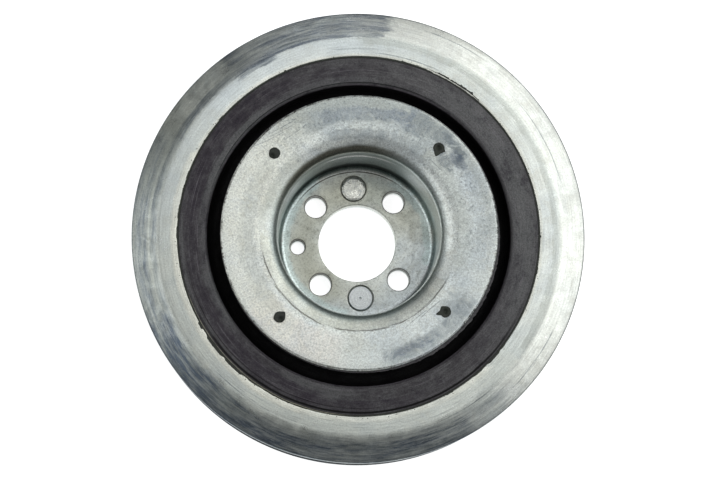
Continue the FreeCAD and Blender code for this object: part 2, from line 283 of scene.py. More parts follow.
def pressed(front, sheet):
    """The closed outline of a pressed sheet from the line of its front side, bore first."""
    places = [Vector((radius, height)) for radius, height, bend in front]
    runs = [(after - before).normalized() for before, after in zip(places, places[1:])]
    sides = [Vector((run.y, -run.x)) for run in runs]
    back = [(places[0] + sides[0] * sheet, 0)]
    for index in range(1, len(places) - 1):
        before, after = sides[index - 1], sides[index]
        shift = (before + after) * (sheet / (1 + before.dot(after)))
        turns_left = runs[index - 1].cross(runs[index]) > 0
        bend = front[index][2] + (sheet if turns_left else -sheet)
        back.append((places[index] + shift, bend))
    back.append((places[-1] + sides[-1] * sheet, 0))
    return front + [(place.x, place.y, bend) for place, bend in reversed(back)]


# Node trees


def feed(socket, value):
    """Links a socket to another one, or gives it a plain value."""
    if isinstance(value, bpy.types.NodeSocket):
        socket.id_data.links.new(value, socket)
    elif socket.type == "RGBA":
        socket.default_value = (*value[:3], 1.0)
    else:
        socket.default_value = value


def add(tree, kind, inputs=None, **settings):
    """A new node with its settings, and its inputs set to values or linked to sockets."""
    made = tree.nodes.new(kind)
    for key, value in settings.items():
        setattr(made, key, value)
    for key, value in (inputs or {}).items():
        feed(made.inputs[key], value)
    return made


def home(*values):
    """The tree that the first linked value is part of."""
    return next(value.id_data for value in values if isinstance(value, bpy.types.NodeSocket))


def out(kind, inputs, output=0, **settings):
    """An output of a new node in the tree of its linked inputs."""
    return add(home(*inputs.values()), kind, inputs, **settings).outputs[output]


def sums(operation, *values):
    """The output of a Math node."""
    return out("ShaderNodeMath", dict(enumerate(values)), operation=operation)


def times(*values):
    """The product of several values."""
    return functools.reduce(functools.partial(sums, "MULTIPLY"), values)


def most(*values):
    """The largest of several values."""
    return functools.reduce(functools.partial(sums, "MAXIMUM"), values)


def fitted(value, factor, shift):
    """A value multiplied by a factor and shifted."""
    return sums("MULTIPLY_ADD", value, factor, shift)


def vectors(operation, *values, output=0):
    """An output of a Vector Math node."""
    return out("ShaderNodeVectorMath", dict(enumerate(values)), output, operation=operation)


def scaled(vector, level):
    """A colour or vector multiplied by a value."""
    return out("ShaderNodeVectorMath", {0: vector, "Scale": level}, operation="SCALE")


def whole(x, y, z):
    """A vector of three values."""
    return out("ShaderNodeCombineXYZ", {0: x, 1: y, 2: z})


def split(vector):
    """The three values of a vector."""
    return add(home(vector), "ShaderNodeSeparateXYZ", {0: vector}).outputs


def cloud(vector, scale, detail=4.0, roughness=0.55, distortion=0.0):
    """A noise value."""
    inputs = {"Vector": vector, "Scale": scale, "Detail": detail, "Roughness": roughness,
              "Distortion": distortion}
    return out("ShaderNodeTexNoise", inputs, "Fac")


def ramp(value, low, high, out_low=0.0, out_high=1.0):
    """A smooth step of a value between two limits."""
    inputs = {"Value": value, "From Min": low, "From Max": high, "To Min": out_low, "To Max": out_high}
    return out("ShaderNodeMapRange", inputs, interpolation_type="SMOOTHSTEP")


def blend(share, first, second):
    """A mix of two colours."""
    return out("ShaderNodeMix", {0: share, 6: first, 7: second}, 2, data_type="RGBA")


def geometry_tree(name, inputs, output):
    """A geometry tree with its named inputs and its output, and the sockets of the inputs."""
    tree = bpy.data.node_groups.new(name, "GeometryNodeTree")
    for key, kind in inputs.items():
        tree.interface.new_socket(key, in_out="INPUT", socket_type="NodeSocket" + kind)
    tree.interface.new_socket(output, in_out="OUTPUT", socket_type="NodeSocketGeometry")
    return tree, add(tree, "NodeGroupInput").outputs


def turning_tree():
    """A geometry tree that turns a section's points round Z into a closed surface."""
    name = "Turned section"
    if name in bpy.data.node_groups:
        return bpy.data.node_groups[name]
    tree, given = geometry_tree(name, {"Section": "Geometry", "Steps round": "Int"}, "Surface")
    section = given["Section"]
    points = out("GeometryNodeAttributeDomainSize", {"Geometry": section}, "Point Count", component="MESH")
    across = sums("ADD", points, 1.0)
    around_it = sums("ADD", given["Steps round"], 1.0)
    grid = out("GeometryNodeMeshGrid", {"Vertices X": around_it, "Vertices Y": across}, "Mesh")
    index = add(tree, "GeometryNodeInputIndex").outputs[0]
    row = sums("FLOOR", sums("DIVIDE", sums("ADD", index, 0.5), across))
    column = sums("FLOORED_MODULO", sums("SUBTRACT", index, times(row, across)), points)
    place = add(tree, "GeometryNodeInputPosition").outputs[0]
    sample = out("GeometryNodeSampleIndex", {"Geometry": section, "Value": place, "Index": column},
                 data_type="FLOAT_VECTOR", domain="POINT")
    turn = sums("DIVIDE", times(row, 2 * math.pi), given["Steps round"])
    spun = out("ShaderNodeVectorRotate", {"Vector": sample, "Angle": turn}, rotation_type="Z_AXIS")
    moved = out("GeometryNodeSetPosition", {"Geometry": grid, "Position": spun})
    merged = out("GeometryNodeMergeByDistance", {"Geometry": moved, "Distance": MERGE_GAP})
    add(tree, "NodeGroupOutput", {"Surface": merged})
    return tree


def keep_shown(piece):
    """Gives the piece a plain mesh of what its modifiers show, and takes them off."""
    bpy.context.view_layer.update()
    seen = piece.evaluated_get(bpy.context.evaluated_depsgraph_get())
    mesh = bpy.data.meshes.new_from_object(seen)
    piece.modifiers.clear()
    piece.data = mesh


def run_tree(tree, piece, values):
    """Gives the piece a plain mesh of what the tree makes of its own."""
    modifier = piece.modifiers.new(tree.name, "NODES")
    modifier.node_group = tree
    for item in tree.interface.items_tree:
        if item.in_out == "INPUT" and item.name in values:
            modifier[item.identifier] = values[item.name]
    keep_shown(piece)


def new_piece(name, vertices, faces=()):
    """A linked object with a new mesh at the origin."""
    mesh = bpy.data.meshes.new(name)
    mesh.from_pydata([tuple(place) for place in vertices], [], list(faces))
    piece = bpy.data.objects.new(name, mesh)
    bpy.context.scene.collection.objects.link(piece)
    return piece


def outward(piece):
    """Turns the faces of a closed mesh outwards."""
    work = bmesh.new()
    work.from_mesh(piece.data)
    bmesh.ops.remove_doubles(work, verts=work.verts, dist=MERGE_GAP)
    bmesh.ops.recalc_face_normals(work, faces=work.faces)
    work.to_mesh(piece.data)
    work.free()


def smooth(piece, degrees=32):
    """Smooth shading with sharp edges over an angle."""
    piece.data.shade_smooth()
    piece.data.set_sharp_from_angle(angle=math.radians(degrees))


def turned(name, line, steps, finish):
    """A piece turned from a closed line of (radius, height) points."""
    section = new_piece(name, [(point.x, 0.0, point.y) for point in line])
    run_tree(turning_tree(), section, {"Steps round": steps})
    outward(section)
    wear(section, finish)
    return section


def wear(piece, finish):
    """The whole piece in one finish, in its only slot."""
    piece.data.materials.clear()
    piece.data.materials.append(finish)
    piece.data.polygons.foreach_set("material_index", [0] * len(piece.data.polygons))


def settle(piece, slot, *nodes):
    """The piece rides on the pulley and stands for its nodes. Its slot is not used."""
    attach(piece, BODY)
    if nodes:
        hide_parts(*nodes)


# Finishes


def new_material(name):
    """A material and its shader."""
    material = bpy.data.materials.new(name)
    material.use_nodes = True
    tree = material.node_tree
    tree.nodes.clear()
    shader = add(tree, "ShaderNodeBsdfPrincipled")
    add(tree, "ShaderNodeOutputMaterial", {"Surface": shader.outputs[0]})
    return material, shader


def dress(shader, colour, rough, relief, strength, depth, **others):
    """Gives the shader its colour, its roughness, a bump of so many millimetres, and other inputs."""
    bump = add(shader.id_data, "ShaderNodeBump",
               {"Height": relief, "Strength": strength, "Distance": depth * MM})
    inputs = {"Base Color": colour, "Roughness": rough, "Normal": bump.outputs[0], **others}
    for key, value in inputs.items():
        feed(shader.inputs[key.replace("_", " ")], value)


def brightened(tone, factor):
    """A colour multiplied by a number, with no part of it over one."""
    return tuple(min(1.0, part * factor) for part in tone)


def swayed(value, waver, sway):
    """The value, shifted to either side by up to half the sway where there is a waver."""
    if waver is None:
        return value
    return fitted(sums("SUBTRACT", waver, 0.5), sway, value)


class Ring:
    """A material's coordinates round the pulley's axis, and the masks that are drawn with them."""

    def __init__(self, material):
        self.place = add(material.node_tree, "ShaderNodeTexCoord").outputs["Object"]
        x, y, self.height = split(self.place)
        self.flat = whole(x, y, 0.0)
        self.radius = vectors("LENGTH", self.flat, output="Value")
        self.direction = vectors("NORMALIZE", self.flat)

    def streaks(self, along, across, detail=6.0, roughness=0.6):
        """Noise drawn out round the axis: along sets its changes round the ring, across those over it."""
        x, y = split(scaled(self.direction, along))[:2]
        level = times(sums("ADD", self.radius, self.height), across)
        return cloud(whole(x, y, level), 1.0, detail, roughness)

    def sector(self, middle, half, soft, waver=None, sway=0.0):
        """One within half degrees of a bearing, fading over soft degrees. A waver value shifts the edge."""
        toward = vectors("DOT_PRODUCT", self.direction, polar(middle), output="Value")
        off = swayed(sums("ARCCOSINE", toward), waver, math.radians(sway))
        return ramp(off, math.radians(half + soft / 2), math.radians(half - soft / 2))

    def between(self, value, low, high, soft, waver=None, sway=0.0):
        """One between two values, in millimetres, with soft edges that the waver shifts by the sway."""
        value = swayed(value, waver, sway * MM)
        half = soft / 2
        rise = ramp(value, (low - half) * MM, (low + half) * MM)
        return times(rise, ramp(value, (high + half) * MM, (high - half) * MM))

    def band(self, *limits):
        """One between two radii."""
        return self.between(self.radius, *limits)

    def layer(self, *limits):
        """One between two heights."""
        return self.between(self.height, *limits)

    def arc(self, x, y, radius, width):
        """One on a thin arc round a point beside the axis, all in millimetres."""
        off = vectors("DISTANCE", self.flat, (x * MM, y * MM, 0.0), output="Value")
        return self.between(off, radius - width / 2, radius + width / 2, width)

    def patch(self, middle, half, low, high, soft, strength, waver, ragged=1.0):
        """A soft-edged patch between two radii on a bearing, broken up by the waver."""
        side = self.sector(middle, half, soft * 1.2, waver, 22.0 * ragged)
        return times(side, self.band(low, high, soft * 0.4, waver, 5.0 * ragged), strength)

    def tinted(self, colours, colour, rows, waver, ragged, *covers):
        """The colour under rows of patches, each with its own tint."""
        for *patch, tint in rows:
            cover = times(self.patch(*patch, waver, ragged), *covers)
            colour = blend(cover, colour, getattr(colours, tint))
        return colour


def zinc(name, colours, haze=0.6, warmth=0.35, streak=0.4, smear=0.4, rough=0.32, grit=0.2, marks=None):
    """Bright zinc plating: hazy patches, turning streaks, slate smears, grain and the piece's own marks.

    marks is a function that lays the piece's own marks, with its painted light and shade, over the colour,
    and gets the noises by name.
    """
    material, shader = new_material(name)
    ring = Ring(material)
    broad = cloud(ring.place, 45, 5, 0.6, 0.6)
    cloudy = cloud(ring.place, 150, 8, 0.66, 0.9)
    grain = cloud(ring.place, 1500, 5, 0.8)
    pores = cloud(ring.place, 900, 6, 0.8)
    fine = ring.streaks(6, 2600)
    wide = ring.streaks(5, 700)
    base = blend(ramp(broad, 0.40, 0.66, 0.0, haze), colours.zinc, colours.zinc_blue)
    hazed = blend(ramp(cloudy, 0.48, 0.70, 0.0, warmth), base, colours.zinc_warm)
    smeared = times(ramp(wide, 0.52, 0.68), ramp(broad, 0.42, 0.62), smear)
    pitted = times(ramp(pores, 0.64, 0.74), ramp(cloudy, 0.40, 0.60), 0.5)
    stained = blend(most(smeared, pitted), hazed, colours.slate_stain_and_shade)
    if marks:
        stained = marks(ring, colours, stained, cloudy=cloudy, fine=fine, wide=wide, pores=pores)
    level = times(ramp(fine, 0.30, 0.70, 1.0 - 0.30 * streak, 1.0 + 0.10 * streak),
                  ramp(grain, 0.30, 0.68, 1.0 - grit, 1.0 + 0.45 * grit))
    gloss = sums("ADD", ramp(cloudy, 0.35, 0.70, rough - 0.05, rough + 0.10), times(smeared, 0.25))
    relief = sums("ADD", times(fine, 0.6 * streak), sums("ADD", times(grain, 0.55), times(cloudy, 1.4)))
    dress(shader, scaled(stained, level), gloss, relief, 0.4, 0.05, Metallic=0.96)
    return material


# Slate patches on the rim, mostly painted shade on the cone's left and lower sides and over its crease:
# bearing, half width, inner and outer radius, softness, strength, raggedness
RIM_PATCHES = (
    (101, 23.5, 82.2, 92, 3, 0.66, 0.7),
    (103, 23, 79.6, 82.4, 1.5, 0.66, 0.6),
    (110, 14, 82, 86, 2, 0.5, 0.6),
    (118, 6, 77.6, 82.5, 2, 0.7, 0.8),
    (137, 13, 80, 82.6, 2, 0.55, 0.6),
    (187, 40, 80.2, 82.8, 3, 0.5, 0.5),
    (187, 38, 83.6, 90, 6, 0.46, 0.5),
    (176, 12, 84.6, 88, 2, 0.6, 0.8),
    (254, 44, 82, 92, 6, 0.72, 0.45),
    (216, 18, 81, 92, 6, 0.84, 0.6),
    (226, 22, 85.6, 89.4, 3, 0.9, 0.6),
    (300, 12, 82, 92, 8, 0.34, 0.6),
    (240, 28, 81, 89, 6, 0.46, 0.9),
    (285, 16, 80.6, 88, 6, 0.34, 0.9),
    (204, 14, 84, 90, 4, 0.56, 0.9),
)
# Tints over the rim's face, in the same order, with the colour's name. The grey ones paint shade on the
# face's lower left, the cone's left and the crease.
RIM_TINTS = (
    (200, 60, 70, 83, 40, 0.42, "grey_haze_and_shade"),
    (285, 42, 70, 83, 30, 0.36, "grey_haze_and_shade"),
    (100, 34, 73.2, 81, 16, 0.42, "zinc_blue"),
    (150, 26, 73, 82, 16, 0.3, "zinc_blue"),
    (55, 30, 70, 81, 20, 0.22, "grey_haze_and_shade"),
    (187, 46, 80.2, 93, 10, 0.62, "grey_haze_and_shade"),
    (142, 24, 80, 93, 10, 0.45, "grey_haze_and_shade"),
    (24, 62, 77, 80.8, 2, 0.4, "grey_haze_and_shade"),
    (18, 70, 80, 93, 6, 0.5, "zinc_cream"),
    (60, 90, 71, 72.9, 2, 0.45, "zinc_warm"),
    (200, 50, 71, 74.4, 3, 0.45, "zinc_warm"),
    (240, 70, 71, 74, 4, 0.4, "zinc_warm"),
)
# Scratches along the rim: radius, width, bearing, half width
RIM_SCRATCHES = (
    (74.9, 0.24, 88, 6),
    (73.4, 0.2, 70, 9),
    (87, 0.26, 61, 7),
    (83.2, 0.18, 20, 16),
    (85.4, 0.2, 322, 10),
    (77.8, 0.18, 228, 12),
    (80.2, 0.16, 300, 9),
)


def rim_marks(ring, colours, colour, cloudy, wide, **others):
    """Painted shade as streaky slate patches on the falling cone and blotches over its crease, a darker
    lower sector and a dark outer edge; also tints and scratches.
    """
    torn = ring.streaks(9, 620, 9, 0.78)
    long = ring.streaks(3.2, 560, 9, 0.74)
    brushed = ring.streaks(8, 2200, 6, 0.8)
    colour = ring.tinted(colours, colour, RIM_TINTS, cloudy, 0.6)
    # Painted shade: streaky slate patches darken the cone and its crease, mostly on the left and below.
    slate_shade = most(*[ring.patch(*patch, torn, ragged) for *patch, ragged in RIM_PATCHES])
    dirt_and_shade = blend(ramp(wide, 0.38, 0.58), colours.slate_stain_and_shade, colours.navy_stain_and_shade)
    grained = times(ramp(long, 0.36, 0.60, 0.62, 1.18), ramp(brushed, 0.36, 0.58, 0.62, 1.15),
                    ramp(torn, 0.36, 0.60, 0.86, 1.05))
    colour = blend(sums("MINIMUM", times(slate_shade, grained), 0.95), colour, dirt_and_shade)
    colour = blend(times(slate_shade, ramp(brushed, 0.64, 0.72), 0.8), colour, colours.zinc)
    for radius, width, middle, half in RIM_SCRATCHES:
        line = ring.band(radius - width, radius + width, width, torn, 0.8)
        drawn = times(ring.sector(middle, half, half), line, ramp(brushed, 0.40, 0.56), 0.75)
        colour = blend(drawn, colour, colours.slate_stain_and_shade)
    # Painted shade: a dark line on the outer edge, and the lower sector of the rim darkened.
    edge = times(ring.band(89.4, 92, 0.4, torn, 0.5), 0.5)
    lower = times(ring.sector(256, 70, 60), ramp(brushed, 0.48, 0.64), 0.34)
    return blend(most(edge, lower), colour, colours.slate_stain_and_shade)


# Smears on the disc: bearing, half width, inner and outer radius, softness, strength, colour. The grey
# patches at the top and the grey, olive and slate ones on the shoulder are painted shade; the rest are
# smears and tints.
DISC_PATCHES = (
    (345, 85, 37, 56, 40, 0.55, "zinc_blue"),
    (82, 46, 42.8, 56, 20, 0.6, "grey_haze_and_shade"),
    (84, 36, 48.5, 54.1, 6, 0.5, "grey_haze_and_shade"),
    (92, 26, 50.6, 54.3, 2, 0.75, "grey_haze_and_shade"),
    (92, 22, 44, 47, 3, 0.4, "grey_haze_and_shade"),
    (30, 34, 50.4, 54.1, 3, 0.34, "grey_haze_and_shade"),
    (38, 5, 49, 52, 2, 0.75, "slate_stain_and_shade"),
    (30, 4, 47.5, 50.5, 2, 0.6, "navy_stain_and_shade"),
    (268, 22, 42.8, 56, 20, 0.2, "grey_haze_and_shade"),
    (332, 22, 42.8, 56, 20, 0.22, "grey_haze_and_shade"),
    (18, 44, 38.6, 43.5, 12, 0.52, "grey_haze_and_shade"),
    (58, 6, 44, 54, 3, 0.75, "slate_stain_and_shade"),
    (65, 4, 46, 51.5, 3, 0.75, "navy_stain_and_shade"),
    (75, 5, 45.5, 50, 3, 0.65, "navy_stain_and_shade"),
    (92, 12, 44.5, 50, 4, 0.6, "navy_stain_and_shade"),
    (106, 8, 44, 51, 5, 0.45, "slate_stain_and_shade"),
    (48, 5, 47, 53, 4, 0.5, "slate_stain_and_shade"),
    (84, 34, 36, 56, 24, 0.34, "zinc_blue"),
    (38, 5, 42, 46, 3, 0.8, "slate_stain_and_shade"),
    (33, 4, 46, 50, 3, 0.7, "navy_stain_and_shade"),
    (88, 17, 37.5, 41.6, 4, 0.5, "slate_stain_and_shade"),
    (60, 16, 37, 42, 6, 0.35, "slate_stain_and_shade"),
    (302, 24, 47.5, 53.2, 4, 0.6, "slate_stain_and_shade"),
    (290, 10, 48.5, 51, 3, 0.5, "navy_stain_and_shade"),
    (318, 7, 42, 49, 6, 0.4, "slate_stain_and_shade"),
    (20, 30, 46, 54, 10, 0.28, "slate_stain_and_shade"),
    (186, 24, 41, 45.5, 2, 0.5, "zinc_blue"),
    (165, 45, 36, 54, 30, 0.5, "zinc_warm"),
    (235, 22, 41, 54, 10, 0.6, "zinc_pink"),
    (218, 14, 42, 52, 8, 0.6, "zinc_warm"),
    (205, 60, 33, 38.6, 6, 0.46, "grey_haze_and_shade"),
    (146, 22, 34, 40, 6, 0.5, "grey_haze_and_shade"),
    (262, 30, 33, 38.6, 8, 0.4, "grey_haze_and_shade"),
    (252, 74, 33, 38.8, 1.6, 0.42, "olive_haze_and_shade"),
    (182, 46, 41.6, 47.4, 3, 0.3, "grey_haze_and_shade"),
)
# Scratches on the disc: arc centre, arc radius, width, all in millimetres, then bearing and half width
DISC_SCRATCHES = (
    (-60, 110, 74, 0.3, 122, 7),
    (-58, 112, 76.2, 0.24, 124, 6),
    (-62, 108, 75, 0.22, 130, 8),
    (-64, 106, 77, 0.26, 118, 6),
    (-10, -70, 117, 0.22, 118, 6),
    (90, 40, 62, 0.2, 28, 9),
    (70, 60, 52, 0.2, 40, 7),
    (60, -90, 68, 0.24, 300, 8),
    (66, -84, 66, 0.24, 308, 8),
    (-70, -60, 54, 0.18, 226, 8),
)
# Tints of the mounting plate, in the same order as the smears. The olive ones are painted shade on all but
# the plate's right side; the blue-green ones near the wall are partly painted reflection.
PLATE_PATCHES = (
    (160, 85, 15, 27, 30, 0.8, "olive_haze_and_shade"),
    (205, 40, 22, 29, 12, 0.35, "olive_haze_and_shade"),
    (62, 26, 18, 28, 8, 0.45, "teal_haze_and_reflection"),
    (60, 50, 15, 27.5, 30, 0.7, "olive_haze_and_shade"),
    (250, 40, 15, 25, 24, 0.4, "olive_haze_and_shade"),
    (300, 60, 25, 31, 20, 0.45, "zinc_blue"),
    (190, 70, 27.4, 31, 4, 0.6, "teal_haze_and_reflection"),
    (20, 40, 27.4, 31, 4, 0.6, "teal_haze_and_reflection"),
)


# Strength of the painted shade round holes and rivets
HOLE_SHADE = 0.85


def shaded_holes(ring):
    """Mask of painted shade on the walls and edges of the bore, the four bolt holes and the locating hole.
    """
    cup = bpy.context.scene.pulley_cup
    holes = [(place, cup.bolt_hole_r) for place in around(4, cup.bolt_circle_r, 45)]
    holes.append((Vector((-cup.locating_r, 0, 0)), cup.locating_hole_r))
    edges = [ring.arc(place.x / MM, place.y / MM, radius / MM + 0.10, 0.40) for place, radius in holes]
    return times(most(ring.band(14, 15.35, 0.3), *edges), HOLE_SHADE)


def shaded_rivet_gaps(ring):
    """Mask of painted shade in the gap round each rivet's head."""
    middles = [middle_of(node) / MM for node in ("rivet_top", "rivet_bottom")]
    return times(most(*[ring.arc(middle.x, middle.y, 5.15, 0.36) for middle in middles]), HOLE_SHADE)


def hub_hole_shade(ring, colours, colour, **others):
    """Painted shade on the walls of the bore and the bolt holes of the rear plate."""
    return blend(shaded_holes(ring), colour, colours.grime_and_shade)


def cup_marks(ring, colours, colour, cloudy, fine, pores, **others):
    """Smears and scratches on the disc and the die's ring line; painted shade over the recess's mouth, on
    its wall, at its foot and round the holes and rivets; a painted highlight line high on the wall.
    """
    grain = cloud(ring.place, 1500, 4, 0.8)
    swept = fitted(cloudy, 0.06, ring.radius)
    radial = cloud(vectors("ADD", ring.direction, whole(0.0, 0.0, times(swept, 12))), 16, 8, 0.72, 0.8)
    mottle = times(ramp(radial, 0.36, 0.60, 0.45, 1.0), ramp(grain, 0.36, 0.60, 0.70, 1.1))
    colour = ring.tinted(colours, colour, DISC_PATCHES, cloudy, 1.0, mottle)
    peppery = times(ring.sector(60, 80, 40), ring.band(36, 56, 2), ramp(pores, 0.52, 0.64), 0.6)
    brushed = ring.streaks(110, 160, 4, 0.75)
    hatched = times(ring.sector(86, 24, 12), ring.band(37.8, 41.2, 1.4, cloudy, 3.0),
                    ramp(brushed, 0.46, 0.66), ramp(cloudy, 0.40, 0.60), 0.5)
    colour = blend(most(peppery, hatched), colour, colours.slate_stain_and_shade)
    for x, y, radius, width, middle, half in DISC_SCRATCHES:
        drawn = times(ring.arc(x, y, radius, width), ring.patch(middle, half, 37, 54, 3, 0.75, cloudy),
                      ramp(fine, 0.36, 0.52))
        colour = blend(drawn, colour, colours.slate_stain_and_shade)
    crease = most(ring.band(38.55, 39.15, 0.25, cloudy, 1.2),
                  times(ring.band(38.2, 39.9, 0.8, cloudy, 1.2), ramp(pores, 0.50, 0.60), 0.6))
    line = times(ring.sector(256, 72, 14), crease, ramp(fine, 0.40, 0.52), 0.75)
    colour = blend(line, colour, colours.grime_and_shade)
    burr = times(ring.band(53.8, 55.5, 0.3, cloudy, 1.0), ramp(radial, 0.48, 0.58),
                 ramp(ring.sector(50, 26, 8), 0.0, 1.0, 0.9, 0.1),
                 ramp(ring.sector(258, 46, 20), 0.0, 1.0, 1.0, 0.5))
    seam = times(ring.band(54, 55.5, 0.2), ring.layer(42, 42.5, 0.2), 0.9)
    colour = blend(most(burr, seam), colour, colours.grime_and_shade)
    axial = ring.streaks(220, 30, 4, 0.7)
    mouth = ring.layer(33.6, 44, 2)
    # Painted shade: the mouth's bend darkened, most towards the lower left.
    mouth_shade = times(ring.band(32.3, 35, 2.2, cloudy, 1.0),
                   fitted(ring.sector(240, 80, 50), 0.25, 0.40))
    colour = blend(times(mouth, mouth_shade), colour, colours.recess)
    # Painted shade: a dark olive band over the mouth's bend at the top.
    top_mouth_shade = times(ring.band(31.5, 34.8, 1.6, cloudy, 1.2), ring.sector(106, 46, 44), 0.97)
    colour = blend(times(mouth, top_mouth_shade), colour, colours.olive)
    # Painted shade: the wall darkened, most towards the lower left and least on the right.
    depth = fitted(ring.sector(250, 65, 50), 0.30, 0.66)
    wall_shade = times(depth, ramp(ring.sector(355, 48, 50), 0.0, 1.0, 1.0, 0.3))
    wall = times(ring.band(30.6, 33.2, 0.6), ring.layer(7.6, 39, 2.2), ramp(axial, 0.3, 0.7, 0.8, 1.1))
    colour = blend(times(wall, wall_shade), colour, colours.recess)
    # Painted shade in the corner at the wall's foot, strongest at the top.
    foot_shade = times(ring.band(30, 33, 0.5), ring.layer(7.4, 15, 5), ring.sector(92, 52, 30), 0.9)
    colour = blend(foot_shade, colour, colours.corner_shade)
    floor = ring.layer(4, 9, 0.4)
    colour = ring.tinted(colours, colour, PLATE_PATCHES, cloudy, 1.0, floor)
    speckled = most(ramp(grain, 0.50, 0.64), ramp(pores, 0.48, 0.60, 0.0, 0.8))
    colour = blend(times(ring.band(10, 29, 1), floor, speckled, 0.42), colour, colours.olive)
    # A dark line where the floor turns up into its bend, strongest at the top.
    floor_edge_line = times(ring.band(29.15, 29.65, 0.2, cloudy, 0.2), floor,
                  fitted(ring.sector(95, 42, 30), 0.75, 0.10))
    # Painted shade round the holes and rivets.
    rims = times(most(shaded_holes(ring), shaded_rivet_gaps(ring)), ring.layer(0, 9, 0.4))
    colour = blend(most(floor_edge_line, rims), colour, colours.grime_and_shade)
    # Painted highlight: a white line high on the wall at the top.
    wall_highlight = times(ring.sector(86, 22, 12), ring.layer(30.4, 33.2, 0.8, axial, 3.0),
                    ring.band(30, 34, 0.5), ramp(axial, 0.34, 0.50))
    return blend(wall_highlight, colour, (1, 1, 1))


# Patches on the rubber, in the same order as the smears on the disc: the broad pale one on the right and
# the pale ones along the inner edge at the upper left are painted light; the dark ones, mostly on the left
# and below, are painted shade; the rest are scuffs and smudges.
RUBBER_PATCHES = (
    (12, 52, 61.5, 70, 30, 1, "bloom_and_light"),
    (8, 40, 63, 69, 20, 0.6, "bloom_and_light"),
    (152, 60, 60, 63.4, 3, 0.9, "bloom_and_light"),
    (178, 24, 60, 62.4, 3, 0.8, "bloom_and_light"),
    (120, 40, 60.2, 63.5, 3, 0.6, "bloom_and_light"),
    (182, 30, 69.6, 70.6, 1, 0.6, "bloom_and_light"),
    (222, 16, 66, 69.5, 2, 0.6, "bloom_and_light"),
    (250, 12, 61, 66, 5, 0.6, "bloom_and_light"),
    (205, 12, 61, 64, 4, 0.5, "bloom_and_light"),
    (186, 44, 64.4, 69, 3, 0.6, "smudge_and_shade"),
    (226, 26, 63.6, 68.6, 3, 0.55, "smudge_and_shade"),
    (140, 30, 64, 71, 6, 0.95, "smudge_and_shade"),
    (105, 18, 61, 68, 6, 0.5, "smudge_and_shade"),
    (176, 14, 60, 68, 8, 0.6, "smudge_and_shade"),
    (212, 18, 62, 68, 8, 0.8, "smudge_and_shade"),
    (240, 14, 64, 70, 6, 0.8, "smudge_and_shade"),
    (268, 22, 66, 70.5, 4, 0.7, "smudge_and_shade"),
    (330, 20, 60, 66, 6, 0.5, "smudge_and_shade"),
)


def rubber(name, colours, rough=0.5):
    """Matt moulded rubber: a faint bloom, dark smudges and mould marks round the axis, with painted light
    and shade, and near-black painted shade in the deep groove.
    """
    material, shader = new_material(name)
    ring = Ring(material)
    bloom = cloud(ring.place, 90, 8, 0.72, 0.7)
    rings = ring.streaks(6, 1500, 8, 0.75)
    wide = ring.streaks(10, 300, 8, 0.75)
    scores = ring.streaks(2.6, 2600, 3, 0.6)
    grain = cloud(ring.place, 1700, 4, 0.8)
    colour = blend(ramp(bloom, 0.40, 0.68, 0.0, 0.40), colours.rubber, colours.bloom_and_light)
    colour = blend(ramp(rings, 0.48, 0.68, 0.0, 0.45), colour, colours.bloom_and_light)
    # Painted highlight: a light line along the crest beside the groove, strongest at the top.
    crest = times(ring.band(59.9, 60.45, 0.25, bloom, 0.3),
                  fitted(ring.sector(105, 55, 40), 0.5, 0.4))
    colour = blend(crest, colour, brightened(colours.rubber, 5))
    colour = ring.tinted(colours, colour, RUBBER_PATCHES, wide, 0.6, ramp(wide, 0.36, 0.60, 0.5, 1.0))
    smudged = times(ramp(wide, 0.52, 0.64), ramp(bloom, 0.40, 0.56), 0.7)
    colour = blend(smudged, colour, colours.smudge_and_shade)
    scored = times(ring.band(61, 70, 1), ramp(scores, 0.60, 0.68), 0.6)
    colour = blend(scored, colour, brightened(colours.rubber, 3.2))
    # Painted shade: a dark line just outside the crest at the top.
    seam = times(ring.band(60.85, 61.15, 0.2, bloom, 0.4), ring.sector(105, 50, 30), 0.9)
    trench = times(ring.band(69.9, 70.7, 0.4, wide, 0.6), ring.sector(266, 60, 40), 0.95)
    ledge = times(ring.band(68.5, 68.8, 0.2, wide, 0.6), ring.sector(230, 40, 30), 0.7)
    dips_and_shade = most(seam, trench, ledge)
    colour = blend(dips_and_shade, colour, colours.pit_and_shade)
    # Painted shade: the rubber deep in the groove turns near-black and loses its sheen.
    groove = times(ring.band(50, 61, 0.6), ring.layer(15, 35.2, 1.6))
    colour = blend(times(groove, 0.85), colour, colours.groove)
    speckled = scaled(colour, ramp(grain, 0.32, 0.66, 0.70, 1.28))
    sheen = times(fitted(groove, -0.85, 1.0), fitted(dips_and_shade, -0.9, 1.0),
                  ramp(wide, 0.36, 0.62, 1.25, 0.60), ramp(rings, 0.36, 0.64, 0.75, 1.30),
                  ramp(grain, 0.32, 0.66, 0.75, 1.2))
    relief = sums("ADD", times(rings, 0.8), times(grain, 0.6))
    dress(shader, speckled, ramp(bloom, 0.3, 0.7, rough - 0.08, rough + 0.14), relief, 0.6, 0.08,
          Specular_Tint=sheen)
    return material


